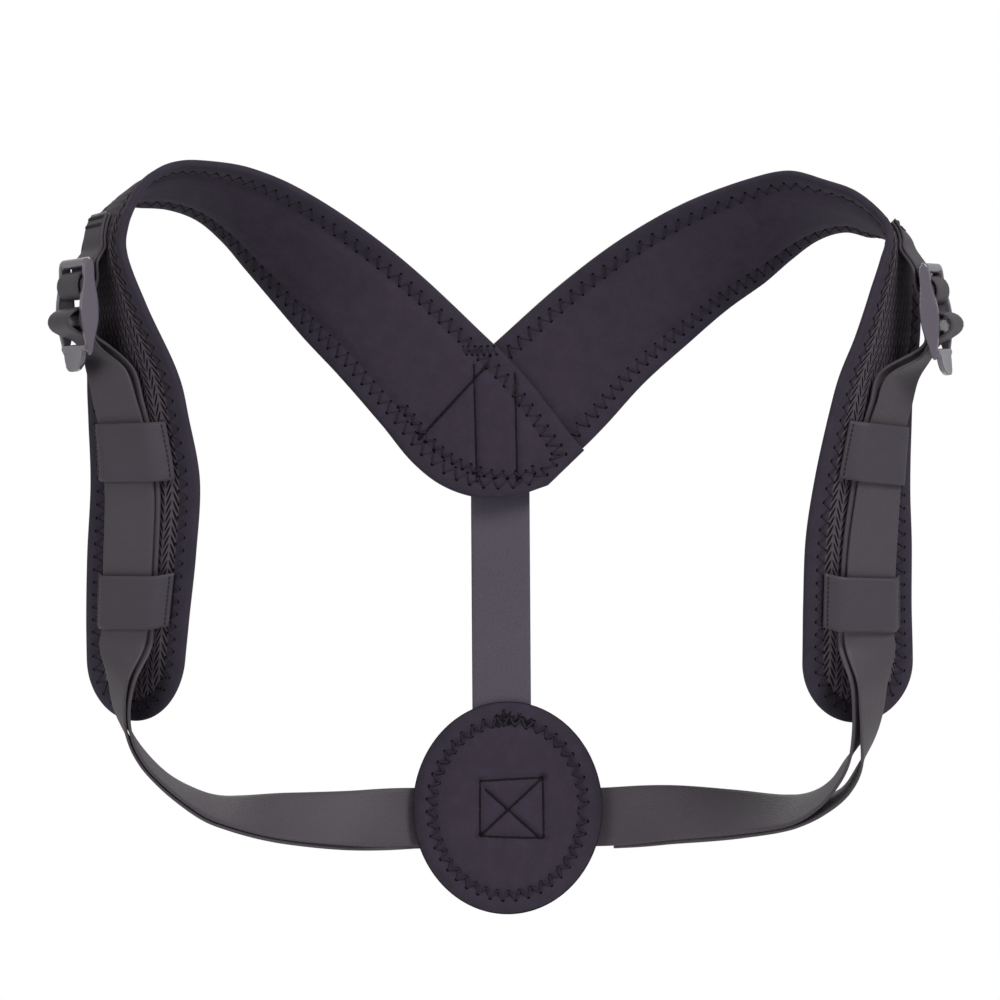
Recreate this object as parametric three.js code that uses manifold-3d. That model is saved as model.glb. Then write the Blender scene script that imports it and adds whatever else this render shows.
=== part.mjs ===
// Posture corrector. Two padded shoulder straps cross at a yoke between the shoulder blades, a centre strap
// joins the yoke to an oval back pad, and a webbing strap on each side runs from the back pad under the arm,
// up through two keeper loops and round the toothed bar of a ladder-lock buckle. Millimetres, +Z up,
// -Y towards the wearer's back on the yoke and +Y away from it. +X is the right side as seen from -Y.
import * as THREE from 'three';
import { mergeVertices } from 'three/addons/utils/BufferGeometryUtils.js';
import Module from 'manifold-3d';

const wasm = await Module();
wasm.setup();

// Measures that the straps' tables are shares of.
const reach = 200; // from the middle line outwards
const forward = 90; // from the back forwards, over the shoulders
const rise = 325; // upwards

// Padded shoulder straps.
const padWidth = 56;
const padThick = 5.5;
const padEdge = 3; // thickness at the bound edge
const bindWidth = 9; // from the edge in to the full thickness
const padEndRound = 28; // length of the rounded lower end

// Webbing.
const webWidth = 25.4;
const webThick = 1.4;
const webShiftHigh = 2.4; // how far it lies from the pad's middle, away from the neck, at the upper loop
const webShiftLow = 0.2; // and at the lower loop
const webFloat = 0.4; // how far it stands off the pad
const slip = 1.2; // how far the free tail lies out of line with the load layer under it
const tailLift = 0.5; // how much further its end stands off than the rest

// Oval back pad.
const backWidth = 82;
const backHeight = 92;
const backThick = 6;
const backFlat = 0.8; // share of the oval that is flat on both faces
const backOut = 2; // its middle lies this far to the right
const backDown = 163.2; // and this far below the origin

// Centre strap and the ends sewn behind the back pad.
const centreOut = -1.6; // middle of the centre strap at its top
const centreTop = 33;
const centreDrift = 1.4; // how far its lower end lies to the right of its top
const sideDrop = 4.2; // the side straps' middle lies this far below the back pad's
const sewnSquare = 27; // side of the stitched square that holds the webbing ends

// Keeper loops, measured along the pad from its lower end.
const loopHeight = 24;
const lowerLoopUp = 57;
const upperLoopUp = 121;
const loopFoot = 3; // the stretch sewn down at each end
const loopRamp = 1.8; // from the foot up onto the webbing

// Ladder-lock buckle.
const railThick = 3.2;
const railDeep = 8;
const railEndDeep = 4.6;
const railBelow = 14.4; // from the toothed bar down to the rails' lower end
const barDeep = 5.6;
const barHigh = 8.6;
const barSpacing = 14.8; // from the toothed bar up to the anchor bar
const topBarUp = 24.1; // from the toothed bar up to the top bar
const topBarThick = 4.3;
const lipDrop = 21; // from the toothed bar down to the lever lip's tip
const lipThick = 2.2;
const lipWidth = 24;
const lipFlare = 1.2; // how far the lip's tip stands out
const lipSteps = 8;
const sideplay = 1; // between the webbing and each rail
const rollSlack = 4.6; // how far the webbing stands off the front of the toothed bar

// Anchor webbing, measured along the pad from its lower end.
const anchorUp = 222;
const anchorSewn = 14; // length that is sewn down
const anchorFloat = 1; // how far it stands off the pad, whose faces are flat between its own sections
const anchorSlant = 4; // how far the lower end of the sewn length lies towards the neck edge
const buckleShift = 6; // how far the buckle lies from the pad's middle, away from the neck

const gap = 0.3; // between pieces that lie on each other
const layerGap = 0.4; // between two layers of the same webbing

const landingShare = 0.7; // where the side strap comes down on the pad, from the upper loop to the buckle
const tuck = 4.6; // how far it turns inwards just under the buckle
const loopSlack = 0.6; // how far the keeper loops stand off the webbing in them

const layer = webThick + layerGap;
const backPlane = 2 * padThick + gap; // outer face of the yoke, and of the back pad
const padSeat = padThick / 2 + gap; // from a pad's middle to what lies on it

// Each side by itself: its sign in X, its height in the pile of webbing behind the back pad, how far its
// free tail stops short of the back pad's middle, and how the buckle hangs off the shoulder strap: the height
// of its toothed bar along the pad from the lower end, its distance from the pad, its turn as in the tables
// and the tilt of its lower end outwards.
const sides = {
  left: { sign: -1, pile: 1, tailShort: 37, buckleUp: 178.5, buckleLift: 9, buckleTurn: 67, buckleTilt: -1 },
  right: { sign: 1, pile: 2, tailShort: 46, buckleUp: 176, buckleLift: 12, buckleTurn: 75, buckleTilt: 7 },
};

// Tables. out, back and up are shares of reach, forward and rise. lean is the slope of the strap's width
// towards the neck and turn is how far its neck edge comes forward, both in degrees. wide is a share of the
// strap's width, and stack counts the pad layers between the strap and the wearer's back. spread is how far
// the free tail stands off the load layer, as a share of the webbing's thickness.
const padColumns = ['out', 'back', 'up', 'lean', 'turn', 'wide', 'stack'];
const padRows = {
  left: [
    [-0.136, 0.0, -0.05, 44, 0, 0.39, 0],
    [-0.087, 0.0, -0.048, 46, 0, 0.64, 0],
    [-0.027, 0.0, -0.033, 48, 0, 0.88, 0],
    [0.034, 0.0, -0.007, 48, 0, 1.04, 0],
    [0.09, 0.0, 0.025, 46, 0, 1.09, 0],
    [0.154, 0.0, 0.068, 45, 0, 1.05, 0],
    [0.262, 0.0, 0.137, 48, 3, 1.0, 0],
    [0.348, -0.04, 0.186, 51, 19, 1.0, 0],
    [0.431, -0.11, 0.231, 55, 33, 1.0, 0],
    [0.509, -0.2, 0.269, 60, 45, 1.0, 0],
    [0.576, -0.31, 0.296, 64, 57, 1.0, 0],
    [0.634, -0.4, 0.311, 63, 66, 1.0, 0],
    [0.692, -0.48, 0.317, 57, 70, 1.0, 0],
    [0.742, -0.57, 0.313, 43, 71, 1.0, 0],
    [0.782, -0.64, 0.303, 22, 74, 1.0, 0],
    [0.806, -0.7, 0.284, 8, 73, 1.0, 0],
    [0.829, -0.75, 0.257, 3, 70, 1.0, 0],
    [0.836, -0.79, 0.223, 3, 68, 1.0, 0],
    [0.81, -0.84, 0.155, 3, 61, 1.0, 0],
    [0.772, -0.9, 0.065, 2, 45, 1.0, 0],
    [0.759, -0.91, 0.008, 1, 39, 1.0, 0],
    [0.746, -0.9, -0.067, 0, 33, 1.0, 0],
    [0.756, -0.81, -0.163, 0, 33, 1.0, 0],
    [0.768, -0.69, -0.25, 0, 37, 1.0, 0],
    [0.776, -0.57, -0.328, 0, 41, 1.0, 0],
    [0.778, -0.49, -0.38, 0, 42, 1.0, 0],
  ],
  right: [
    [-0.184, 0.0, -0.038, 46, 0, 0.3, 1],
    [-0.136, 0.0, -0.042, 46, 0, 0.54, 1],
    [-0.074, 0.0, -0.024, 46, 0, 0.78, 1],
    [-0.004, 0.0, 0.0, 46, 0, 0.95, 1],
    [0.053, 0.0, 0.032, 46, 0, 1.05, 1],
    [0.114, 0.0, 0.068, 45, 0, 1.05, 1],
    [0.214, 0.0, 0.128, 50, 3, 1.0, 0.5],
    [0.327, -0.05, 0.184, 56, 18, 1.0, 0],
    [0.433, -0.12, 0.228, 65, 30, 1.0, 0],
    [0.537, -0.22, 0.26, 75, 40, 1.0, 0],
    [0.613, -0.32, 0.281, 82, 52, 1.0, 0],
    [0.678, -0.43, 0.286, 85, 68, 1.0, 0],
    [0.731, -0.52, 0.283, 84, 76, 1.0, 0],
    [0.775, -0.6, 0.269, 72, 80, 1.0, 0],
    [0.804, -0.67, 0.256, 36, 86, 1.0, 0],
    [0.822, -0.73, 0.24, -5, 80, 1.0, 0],
    [0.828, -0.78, 0.22, -6, 73, 1.0, 0],
    [0.82, -0.83, 0.18, -4, 67, 1.0, 0],
    [0.801, -0.88, 0.114, -2, 59, 1.0, 0],
    [0.777, -0.91, 0.06, 2, 54, 1.0, 0],
    [0.763, -0.92, 0.004, 5, 49, 1.0, 0],
    [0.749, -0.9, -0.072, 5, 42, 1.0, 0],
    [0.743, -0.84, -0.145, 3, 35, 1.0, 0],
    [0.743, -0.74, -0.225, 1, 33, 1.0, 0],
    [0.747, -0.61, -0.305, 0, 31, 1.0, 0],
    [0.746, -0.5, -0.382, 0, 31, 1.0, 0],
  ],
};

// The free stretch of each side strap, from the lower end of the pad down and round to the back pad.
const webColumns = ['out', 'back', 'up', 'lean', 'turn', 'spread'];
const webRows = {
  left: [
    [0.797, -0.71, -0.322, 0, 66, 0.6],
    [0.8, -0.65, -0.362, 0, 76, 0],
    [0.785, -0.59, -0.4, -20, 86, 0],
    [0.757, -0.53, -0.431, -100, 86, 0],
    [0.717, -0.47, -0.458, -120, 84, 0],
    [0.669, -0.4, -0.48, -113, 78, 0],
    [0.622, -0.31, -0.496, -101, 70, 0],
    [0.572, -0.22, -0.504, -94, 61, 0],
    [0.48, -0.1, -0.511, -90, 43, 0],
    [0.338, 0.04, -0.516, -90, 25, 0.5],
  ],
  right: [
    [0.764, -0.71, -0.326, 2, 56, 0.6],
    [0.765, -0.65, -0.364, 6, 64, 0.7],
    [0.758, -0.59, -0.4, 0, 74, 1.4],
    [0.74, -0.53, -0.436, -50, 87, 2.8],
    [0.712, -0.46, -0.467, -104, 86, 2.8],
    [0.67, -0.38, -0.488, -98, 77, 1.2],
    [0.614, -0.27, -0.501, -90, 63, 0],
    [0.504, -0.11, -0.506, -90, 45, 0],
    [0.362, 0.03, -0.508, -90, 24, 0],
  ],
};

const finishes = {
  pad: { color: 0x332c39, roughness: 0.92, metalness: 0 },
  webbing: { color: 0x4b474f, roughness: 0.62, metalness: 0 },
  plastic: { color: 0x2b282d, roughness: 0.38, metalness: 0 },
};

// Turns a table's rows into objects with the columns' names.
function named(columns, rows) {
  return rows.map((row) => Object.fromEntries(columns.map((name, i) => [name, row[i]])));
}

// The direction across a strap, from its arm edge to its neck edge.
function acrossOf(sign, lean, turn) {
  const [slope, twist] = [lean, turn].map(THREE.MathUtils.degToRad);
  const level = Math.cos(twist);
  return new THREE.Vector3(-sign * Math.cos(slope) * level, -Math.sin(twist), Math.sin(slope) * level);
}

// A smooth route through frames, each a point and the direction across the strap there.
class Route {
  constructor(frames, sign) {
    this.sign = sign;
    this.frames = frames;
    this.line = new THREE.CatmullRomCurve3(frames.map((frame) => frame.point), false, 'centripetal');
    this.width = new THREE.CatmullRomCurve3(frames.map((frame) => frame.across), false, 'catmullrom', 0.5);
    this.line.arcLengthDivisions = 20 * frames.length;
  }

  get length() {
    return this.line.getLength();
  }

  // The station at a share of the frames: its point and its directions across, along and outwards.
  at(share) {
    const point = this.line.getPoint(share);
    const span = this.width.getPoint(share);
    const along = this.line.getTangent(share);
    const across = span.clone().normalize();
    const out = new THREE.Vector3().crossVectors(across, along).multiplyScalar(this.sign).normalize();
    return { point, across, along, out, wide: span.length() };
  }

  // The station at a distance along the route, or back from its end.
  after(distance) {
    return this.at(this.line.getUtoTmapping(THREE.MathUtils.clamp(distance / this.length, 0, 1)));
  }

  before(distance) {
    return this.after(this.length - distance);
  }

  // Stations with an even number of steps between two frames, none longer than the step.
  stations(step, fewest) {
    const spans = this.frames.length - 1;
    const shares = [0];
    for (let i = 0; i < spans; i++) {
      const span = this.frames[i].point.distanceTo(this.frames[i + 1].point);
      const steps = Math.max(fewest, Math.ceil(span / step));
      for (let k = 1; k <= steps; k++) shares.push((i + k / steps) / spans);
    }
    return shares.map((share) => this.at(share));
  }
}

// A point at a distance across and outwards from a station.
function offset(station, across, out) {
  return station.point.clone().addScaledVector(station.across, across).addScaledVector(station.out, out);
}

// A closed body through one outline for each station, with flat ends. The second half of an outline is the
// other face of a strap, and its faces are split the same way as those of the first, so a twist stays thick.
function loft(stations, outlines) {
  const flat = (outline) => outline.map(([across, out]) => new THREE.Vector2(across, out));
  const turned = THREE.ShapeUtils.area(flat(outlines[0])) < 0;
  const rings = outlines.map((outline) => (turned ? [...outline].reverse() : outline));
  const count = rings[0].length;
  const points = rings.flatMap((ring, i) => ring.map(([across, out]) => offset(stations[i], across, out)));
  const faces = [];
  for (let i = 0; i + 1 < rings.length; i++)
    for (let k = 0; k < count; k++) {
      const next = (k + 1) % count;
      const [a, b, c, d] = [i * count + k, i * count + next, (i + 1) * count + k, (i + 1) * count + next];
      if (k < count / 2) faces.push([a, b, d], [a, d, c]);
      else faces.push([a, b, c], [b, d, c]);
    }
  const last = (rings.length - 1) * count;
  for (const [a, b, c] of THREE.ShapeUtils.triangulateShape(flat(rings[0]), [])) faces.push([a, c, b]);
  for (const [a, b, c] of THREE.ShapeUtils.triangulateShape(flat(rings.at(-1)), []))
    faces.push([last + a, last + b, last + c]);
  return closed(points, faces);
}

// A geometry from points and faces, with its faces turned outwards.
function closed(points, faces) {
  const volume = faces.reduce(
    (sum, [a, b, c]) => sum + points[a].dot(new THREE.Vector3().crossVectors(points[b], points[c])),
    0,
  );
  const outward = volume < 0 ? faces.map(([a, b, c]) => [a, c, b]) : faces;
  const geometry = new THREE.BufferGeometry().setFromPoints(points);
  geometry.setIndex(outward.flat());
  geometry.computeVertexNormals();
  return geometry;
}

function piece(name, geometry, finish) {
  const mesh = new THREE.Mesh(geometry, new THREE.MeshStandardMaterial(finishes[finish]));
  mesh.name = name;
  return mesh;
}

// The outline of a rectangle across a strap.
function bandOutline(width, thick) {
  const [w, t] = [width / 2, thick / 2];
  return [[-w, -t], [w, -t], [w, t], [-w, t]];
}

// The outline of a padded strap: flat faces that slope down to a thinner bound edge.
function padOutline(width) {
  const [w, t, e] = [width / 2, padThick / 2, padEdge / 2];
  const flat = w - Math.min(bindWidth, 0.55 * w);
  return [[-w, -e], [-flat, -t], [flat, -t], [w, -e], [w, e], [flat, t], [-flat, t], [-w, e]];
}

const padStep = 7;
const webStep = 11;
const endSteps = 5; // steps in a pad's rounded end

function padRoute({ name, sign }) {
  const frames = named(padColumns, padRows[name]).map((row) => ({
    point: new THREE.Vector3(
      sign * row.out * reach,
      row.back * forward + row.stack * (padThick + gap) + padThick / 2,
      row.up * rise,
    ),
    across: acrossOf(sign, row.lean, row.turn).multiplyScalar(row.wide),
  }));
  return new Route(frames, sign);
}

function shoulderPad(side) {
  const { pad } = side;
  const straight = pad.length - padEndRound;
  const steps = Math.ceil(straight / padStep);
  const stations = [];
  const outlines = [];
  for (let i = 0; i <= steps; i++) {
    const station = pad.after((straight * i) / steps);
    stations.push(station);
    outlines.push(padOutline(padWidth * station.wide));
  }
  for (let i = 1; i <= endSteps; i++) {
    const angle = (0.48 * Math.PI * i) / endSteps;
    const station = pad.after(straight + padEndRound * Math.sin(angle));
    stations.push(station);
    outlines.push(padOutline(padWidth * station.wide * Math.cos(angle)));
  }
  return piece(`${side.name}_shoulder_pad`, loft(stations, outlines), 'pad');
}

// A webbing piece along frames.
function webbing(name, frames, sign) {
  const stations = new Route(frames, sign).stations(webStep, 2);
  const outline = bandOutline(webWidth, webThick);
  return piece(name, loft(stations, stations.map(() => outline)), 'webbing');
}

// The buckle's own directions and places. deep runs outwards, high upwards and wide along its bars.
function buckleFrame({ pad, sign, buckleUp, buckleLift, buckleTurn, buckleTilt }) {
  const station = pad.before(buckleUp);
  const tilt = THREE.MathUtils.degToRad(buckleTilt);
  const high = new THREE.Vector3(-sign * Math.sin(tilt), 0, Math.cos(tilt));
  const wide = acrossOf(sign, 0, buckleTurn).projectOnPlane(high).normalize();
  const deep = new THREE.Vector3().crossVectors(high, wide).multiplyScalar(sign).normalize();
  const centre = offset(station, -buckleShift, padThick / 2 + buckleLift + railDeep / 2);
  const at = (out, up) => centre.clone().addScaledVector(deep, out).addScaledVector(high, up);
  return { centre, wide, high, deep, at };
}

// How far the side strap lies from the pad's middle at a height above the pad's lower end.
function webShift(up) {
  return THREE.MathUtils.mapLinear(up, lowerLoopUp, upperLoopUp, webShiftLow, webShiftHigh);
}

const backWrap = barDeep / 2 + gap + webThick / 2; // webbing's middle behind a bar
const endWrap = barHigh / 2 + gap + webThick / 2; // and above or below it

// The side strap between its load layer and its tail, from under the buckle down to behind the back pad.
function sideSpine(side) {
  const { pad, buckle, sign, pile } = side;
  const across = buckle.wide;
  const low = -endWrap - webThick;
  const between = layer / 2 - backWrap;
  const lift = padSeat + webFloat + webThick + layerGap / 2;
  const halfway = THREE.MathUtils.lerp(upperLoopUp, side.buckleUp, landingShare);
  const landing = pad.before(halfway);
  const frames = [
    { point: buckle.at(between, low), across, spread: 0 },
    { point: buckle.at(between - tuck, low - barHigh / 2), across, spread: webThick },
    { point: offset(landing, -webShift(halfway), lift + webThick), across: landing.across, spread: webThick },
  ];
  const stops = 8; // steps from one keeper loop to the other
  const onPad = (up, extra) => {
    const station = pad.before(up);
    const point = offset(station, -webShift(up), lift + extra);
    frames.push({ point, across: station.across, spread: extra / 2 });
  };
  const [from, to] = [upperLoopUp + loopHeight / 2, lowerLoopUp - loopHeight / 2];
  onPad(from + loopHeight / 3, webThick);
  for (let i = 0; i <= stops; i++) onPad(from + ((to - from) * i) / stops, 0);
  onPad(to - loopHeight / 3, webThick);
  for (const row of named(webColumns, webRows[side.name])) {
    const point = new THREE.Vector3(sign * row.out * reach, row.back * forward, row.up * rise);
    frames.push({ point, across: acrossOf(sign, row.lean, row.turn), spread: row.spread * webThick });
  }
  const y = backPlane + gap + webThick / 2 + pile * (webThick + gap) + layer / 2;
  const down = new THREE.Vector3(0, 0, -1);
  for (const out of [backWidth / 2, sewnSquare / 2, 0, -sewnSquare / 2])
    frames.push({
      point: new THREE.Vector3(backOut + sign * out, y, -backDown - sideDrop),
      across: down,
      spread: 0,
    });
  return new Route(frames, sign);
}

// Frames round a bar, from one angle to another: 0 is behind it, 90 above and 180 in front.
function wrap(buckle, up, front, from, to) {
  const steps = (to - from) / 30;
  return Array.from({ length: steps + 1 }, (_, i) => {
    const degrees = from + 30 * i;
    const angle = THREE.MathUtils.degToRad(degrees);
    const deep = degrees > 90 && degrees < 270 ? front : backWrap;
    return {
      point: buckle.at(-deep * Math.cos(angle), up + endWrap * Math.sin(angle)),
      across: buckle.wide,
    };
  });
}

// The whole side strap: the load layer up from the back pad, round the toothed bar, and the tail back down.
function sideStrap(side) {
  const spine = sideSpine(side);
  const last = spine.frames.length - 1;
  const tailEnd = spine.length - (sewnSquare / 2 + side.tailShort);
  const load = [];
  const tail = [];
  const cut = shareAt(spine, tailEnd);
  spine.frames.forEach((frame, i) => {
    const station = spine.at(i / last);
    load.unshift({ point: offset(station, 0, -layer / 2 - frame.spread / 2), across: station.across });
    if (i / last >= cut) return;
    const settled = Math.min(1, i / 4);
    const out = layer / 2 + frame.spread / 2;
    tail.push({ point: offset(station, slip * settled, out), across: station.across });
  });
  const from = Math.floor(cut * last) / last;
  for (const share of [(from + cut) / 2, cut]) {
    const end = spine.at(share);
    tail.push({ point: offset(end, slip, layer / 2 + tailLift), across: end.across });
  }
  const round = wrap(side.buckle, 0, backWrap + rollSlack, 0, 240);
  return webbing(`${side.name}_side_strap`, [...load, ...round, ...tail], side.sign);
}

function shareAt(route, distance) {
  return route.line.getUtoTmapping(distance / route.length);
}

// The anchor webbing: down from the pad behind the top bar, round the anchor bar and back up to the pad.
function anchor(side) {
  const { pad, buckle, sign } = side;
  const inner = padThick / 2 + anchorFloat + webThick / 2;
  const outer = inner + layer;
  const sewn = (share, lift) => {
    const station = pad.before(anchorUp - share * anchorSewn);
    return { point: offset(station, share * anchorSlant - webShiftHigh, lift), across: station.across };
  };
  const hang = (out, up) => ({ point: buckle.at(out, up), across: buckle.wide });
  const behindTop = topBarThick / 2 + gap + webThick / 2;
  const fold = wrap(buckle, barSpacing, backWrap + gap, 60, 330);
  const seam = [0, 0.25, 0.5, 0.75, 1];
  const frames = [
    ...seam.map((share) => sewn(share, outer)),
    hang(-behindTop, topBarUp),
    ...fold,
    hang(-behindTop - layer, barSpacing + endWrap / 2),
    hang(-behindTop - layer, topBarUp),
    ...seam.reverse().map((share) => sewn(share, inner)),
  ];
  return webbing(`${side.name}_anchor`, frames, sign);
}

// A keeper loop: sewn to the pad at both ends and raised over the two layers of webbing.
function keeperLoop(side, name, up) {
  const steps = 4;
  const clear = webWidth / 2 + slip + gap;
  const [armTop, neckTop] = [-webShift(up) - clear, -webShift(up) + clear];
  const [armFoot, neckFoot] = [armTop - loopRamp, neckTop + loopRamp];
  const seat = padSeat;
  const top = padSeat + webFloat + 2 * webThick + layerGap + loopSlack;
  const under = [
    [armFoot - loopFoot, seat],
    [armFoot, seat],
    [armTop, top],
    [neckTop, top],
    [neckFoot, seat],
    [neckFoot + loopFoot, seat],
  ];
  const over = under.map(([across, out]) => [across, out + webThick]).reverse();
  const stations = [];
  for (let i = 0; i <= steps; i++) stations.push(side.pad.before(up + loopHeight * (0.5 - i / steps)));
  const outline = [...under, ...over];
  return piece(`${side.name}_${name}_loop`, loft(stations, stations.map(() => outline)), 'webbing');
}

// A body from a closed shape, extruded along the bars and centred on them.
function barSolid(shape, length, curveSegments) {
  const geometry = new THREE.ExtrudeGeometry(shape, { depth: length, bevelEnabled: false, curveSegments });
  geometry.translate(0, 0, -length / 2);
  return solid(geometry);
}

function solid(geometry) {
  geometry.deleteAttribute('normal');
  geometry.deleteAttribute('uv');
  const merged = mergeVertices(geometry, 1e-3);
  const vertProperties = new Float32Array(merged.attributes.position.array);
  return new wasm.Manifold(
    new wasm.Mesh({ numProp: 3, vertProperties, triVerts: new Uint32Array(merged.index.array) }),
  );
}

function ovalShape(x, y, width, height) {
  return new THREE.Shape().absellipse(x, y, width / 2, height / 2, 0, 2 * Math.PI);
}

// The side rail seen from its end of the bars: deepest in the middle, with both ends cut square.
function railShape() {
  const [end, bow] = [railEndDeep / 2, railDeep - railEndDeep / 2];
  const [low, top] = [-railBelow, topBarUp + topBarThick / 2];
  const shape = new THREE.Shape();
  shape.moveTo(-end, low);
  shape.lineTo(end, low);
  shape.quadraticCurveTo(bow, (low + top) / 2, end, top);
  shape.lineTo(-end, top);
  shape.quadraticCurveTo(-bow, (low + top) / 2, -end, low);
  return shape;
}

// The lever lip: a tongue with a rounded tip, down from between the rails' lower ends.
function lip() {
  const start = -railBelow + railEndDeep / 2;
  const tongue = barSolid(ovalShape(0, start, lipWidth, 2 * (lipDrop + start)), railDeep, lipSteps);
  return barSolid(lipShape(start), lipWidth, lipSteps).intersect(tongue.rotate([0, 90, 0]));
}

// The lip seen from its end of the bars.
function lipShape(start) {
  const shape = new THREE.Shape();
  shape.moveTo(0, start);
  shape.quadraticCurveTo(0, -lipDrop + lipThick, lipFlare, -lipDrop);
  shape.lineTo(lipFlare, -lipDrop + lipThick);
  shape.quadraticCurveTo(lipThick, -lipDrop + 2 * lipThick, lipThick, start);
  shape.closePath();
  return shape;
}

function buckleGeometry() {
  const inside = webWidth + 2 * sideplay;
  const outside = inside + 2 * railThick;
  const bars = [
    barSolid(ovalShape(0, 0, barDeep, barHigh), inside + railThick, 6),
    barSolid(ovalShape(0, barSpacing, barDeep, barHigh), inside + railThick, 6),
    barSolid(ovalShape(0, topBarUp, topBarThick, topBarThick), inside + railThick, 5),
    lip(),
    barSolid(ovalShape(lipThick / 2, railThick - railBelow, lipThick, railThick), inside + railThick, 5),
  ];
  const shift = (inside + railThick) / 2;
  const rails = [-shift, shift].map((z) => barSolid(railShape(), railThick, 6).translate([0, 0, z]));
  const whole = [...bars, ...rails].reduce((sum, part) => sum.add(part));
  const { vertProperties, triVerts } = whole.getMesh();
  const geometry = new THREE.BufferGeometry();
  geometry.setAttribute('position', new THREE.BufferAttribute(new Float32Array(vertProperties), 3));
  geometry.setIndex([...triVerts]);
  geometry.computeVertexNormals();
  return geometry;
}

function buckle(side) {
  const { deep, high, centre } = side.buckle;
  const mesh = piece(`${side.name}_buckle`, buckleGeometry(), 'plastic');
  const along = new THREE.Vector3().crossVectors(deep, high);
  mesh.applyMatrix4(new THREE.Matrix4().makeBasis(deep, high, along).setPosition(centre));
  return mesh;
}

// The oval back pad: flat in the middle of both faces, with a rounded rim.
function backPad() {
  const spokes = 40;
  const rings = [
    [backFlat, 0],
    [0.96, 0.16],
    [1, 0.5],
    [0.96, 0.84],
    [backFlat, 1],
  ];
  const outline = Array.from({ length: spokes }, (_, i) => (2 * Math.PI * i) / spokes);
  const points = rings.flatMap(([size, depth]) =>
    outline.map((angle) => {
      const x = backOut + (size * backWidth * Math.cos(angle)) / 2;
      const z = -backDown + (size * backHeight * Math.sin(angle)) / 2;
      return new THREE.Vector3(x, backPlane - backThick * (1 - depth), z);
    }),
  );
  const faces = [];
  for (let i = 0; i + 1 < rings.length; i++)
    for (let k = 0; k < spokes; k++) {
      const next = (k + 1) % spokes;
      const [a, b] = [i * spokes + k, i * spokes + next];
      faces.push([a, b, b + spokes], [a, b + spokes, a + spokes]);
    }
  const last = (rings.length - 1) * spokes;
  for (let k = 1; k + 1 < spokes; k++) faces.push([0, k + 1, k], [last, last + k, last + k + 1]);
  return piece('back_pad', closed(points, faces), 'pad');
}

function centreStrap() {
  const y = backPlane + gap + webThick / 2;
  const across = new THREE.Vector3(1, 0, 0);
  const frames = [
    { point: new THREE.Vector3(centreOut, y, centreTop), across },
    { point: new THREE.Vector3(centreOut + centreDrift, y, -backDown - sewnSquare / 2), across },
  ];
  const outline = bandOutline(webWidth, webThick);
  const stations = new Route(frames, 1).stations(Infinity, 4);
  return piece('centre_strap', loft(stations, stations.map(() => outline)), 'webbing');
}

const group = new THREE.Group();
for (const [name, settings] of Object.entries(sides)) {
  const side = { name, ...settings };
  side.pad = padRoute(side);
  side.buckle = buckleFrame(side);
  group.add(
    shoulderPad(side),
    sideStrap(side),
    keeperLoop(side, 'upper', upperLoopUp),
    keeperLoop(side, 'lower', lowerLoopUp),
    anchor(side),
    buckle(side),
  );
}
group.add(centreStrap(), backPad());

export default group;
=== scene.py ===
"""Looks of a posture corrector: padded shoulder straps, webbing, keeper loops, buckles and an oval back pad.

Sizes are in millimetres and are turned to metres where a mesh is made. +Z is up, -Y is the body side of the
yoke, and the straps follow the same tables as the solids they stand for.
"""

import logging
import math
from dataclasses import dataclass, field
from enum import Enum

import bmesh
import bpy
import numpy as np
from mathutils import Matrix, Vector
from mathutils.bvhtree import BVHTree


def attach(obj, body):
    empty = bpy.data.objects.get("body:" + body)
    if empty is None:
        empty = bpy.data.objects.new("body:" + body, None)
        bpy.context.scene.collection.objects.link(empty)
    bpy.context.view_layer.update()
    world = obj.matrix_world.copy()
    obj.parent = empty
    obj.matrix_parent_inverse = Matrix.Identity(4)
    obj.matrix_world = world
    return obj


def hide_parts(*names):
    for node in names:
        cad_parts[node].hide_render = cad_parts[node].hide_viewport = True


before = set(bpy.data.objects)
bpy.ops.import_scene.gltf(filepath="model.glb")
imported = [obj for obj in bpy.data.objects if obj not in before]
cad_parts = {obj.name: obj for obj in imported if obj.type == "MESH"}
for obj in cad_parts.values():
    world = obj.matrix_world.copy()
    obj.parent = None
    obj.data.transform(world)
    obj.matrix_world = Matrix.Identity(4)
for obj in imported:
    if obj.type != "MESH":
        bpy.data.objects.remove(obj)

logging.basicConfig(level=logging.INFO, format="%(message)s")
LOG = logging.getLogger("posture_corrector")

MM = 0.001
TAU = 2 * math.pi
Array = np.ndarray


class Side(Enum):
    """The two sides of the brace, as seen from the body side."""

    LEFT = "left"
    RIGHT = "right"

    @property
    def sign(self) -> int:
        """Sign of the side's X."""
        return -1 if self is Side.LEFT else 1


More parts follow.
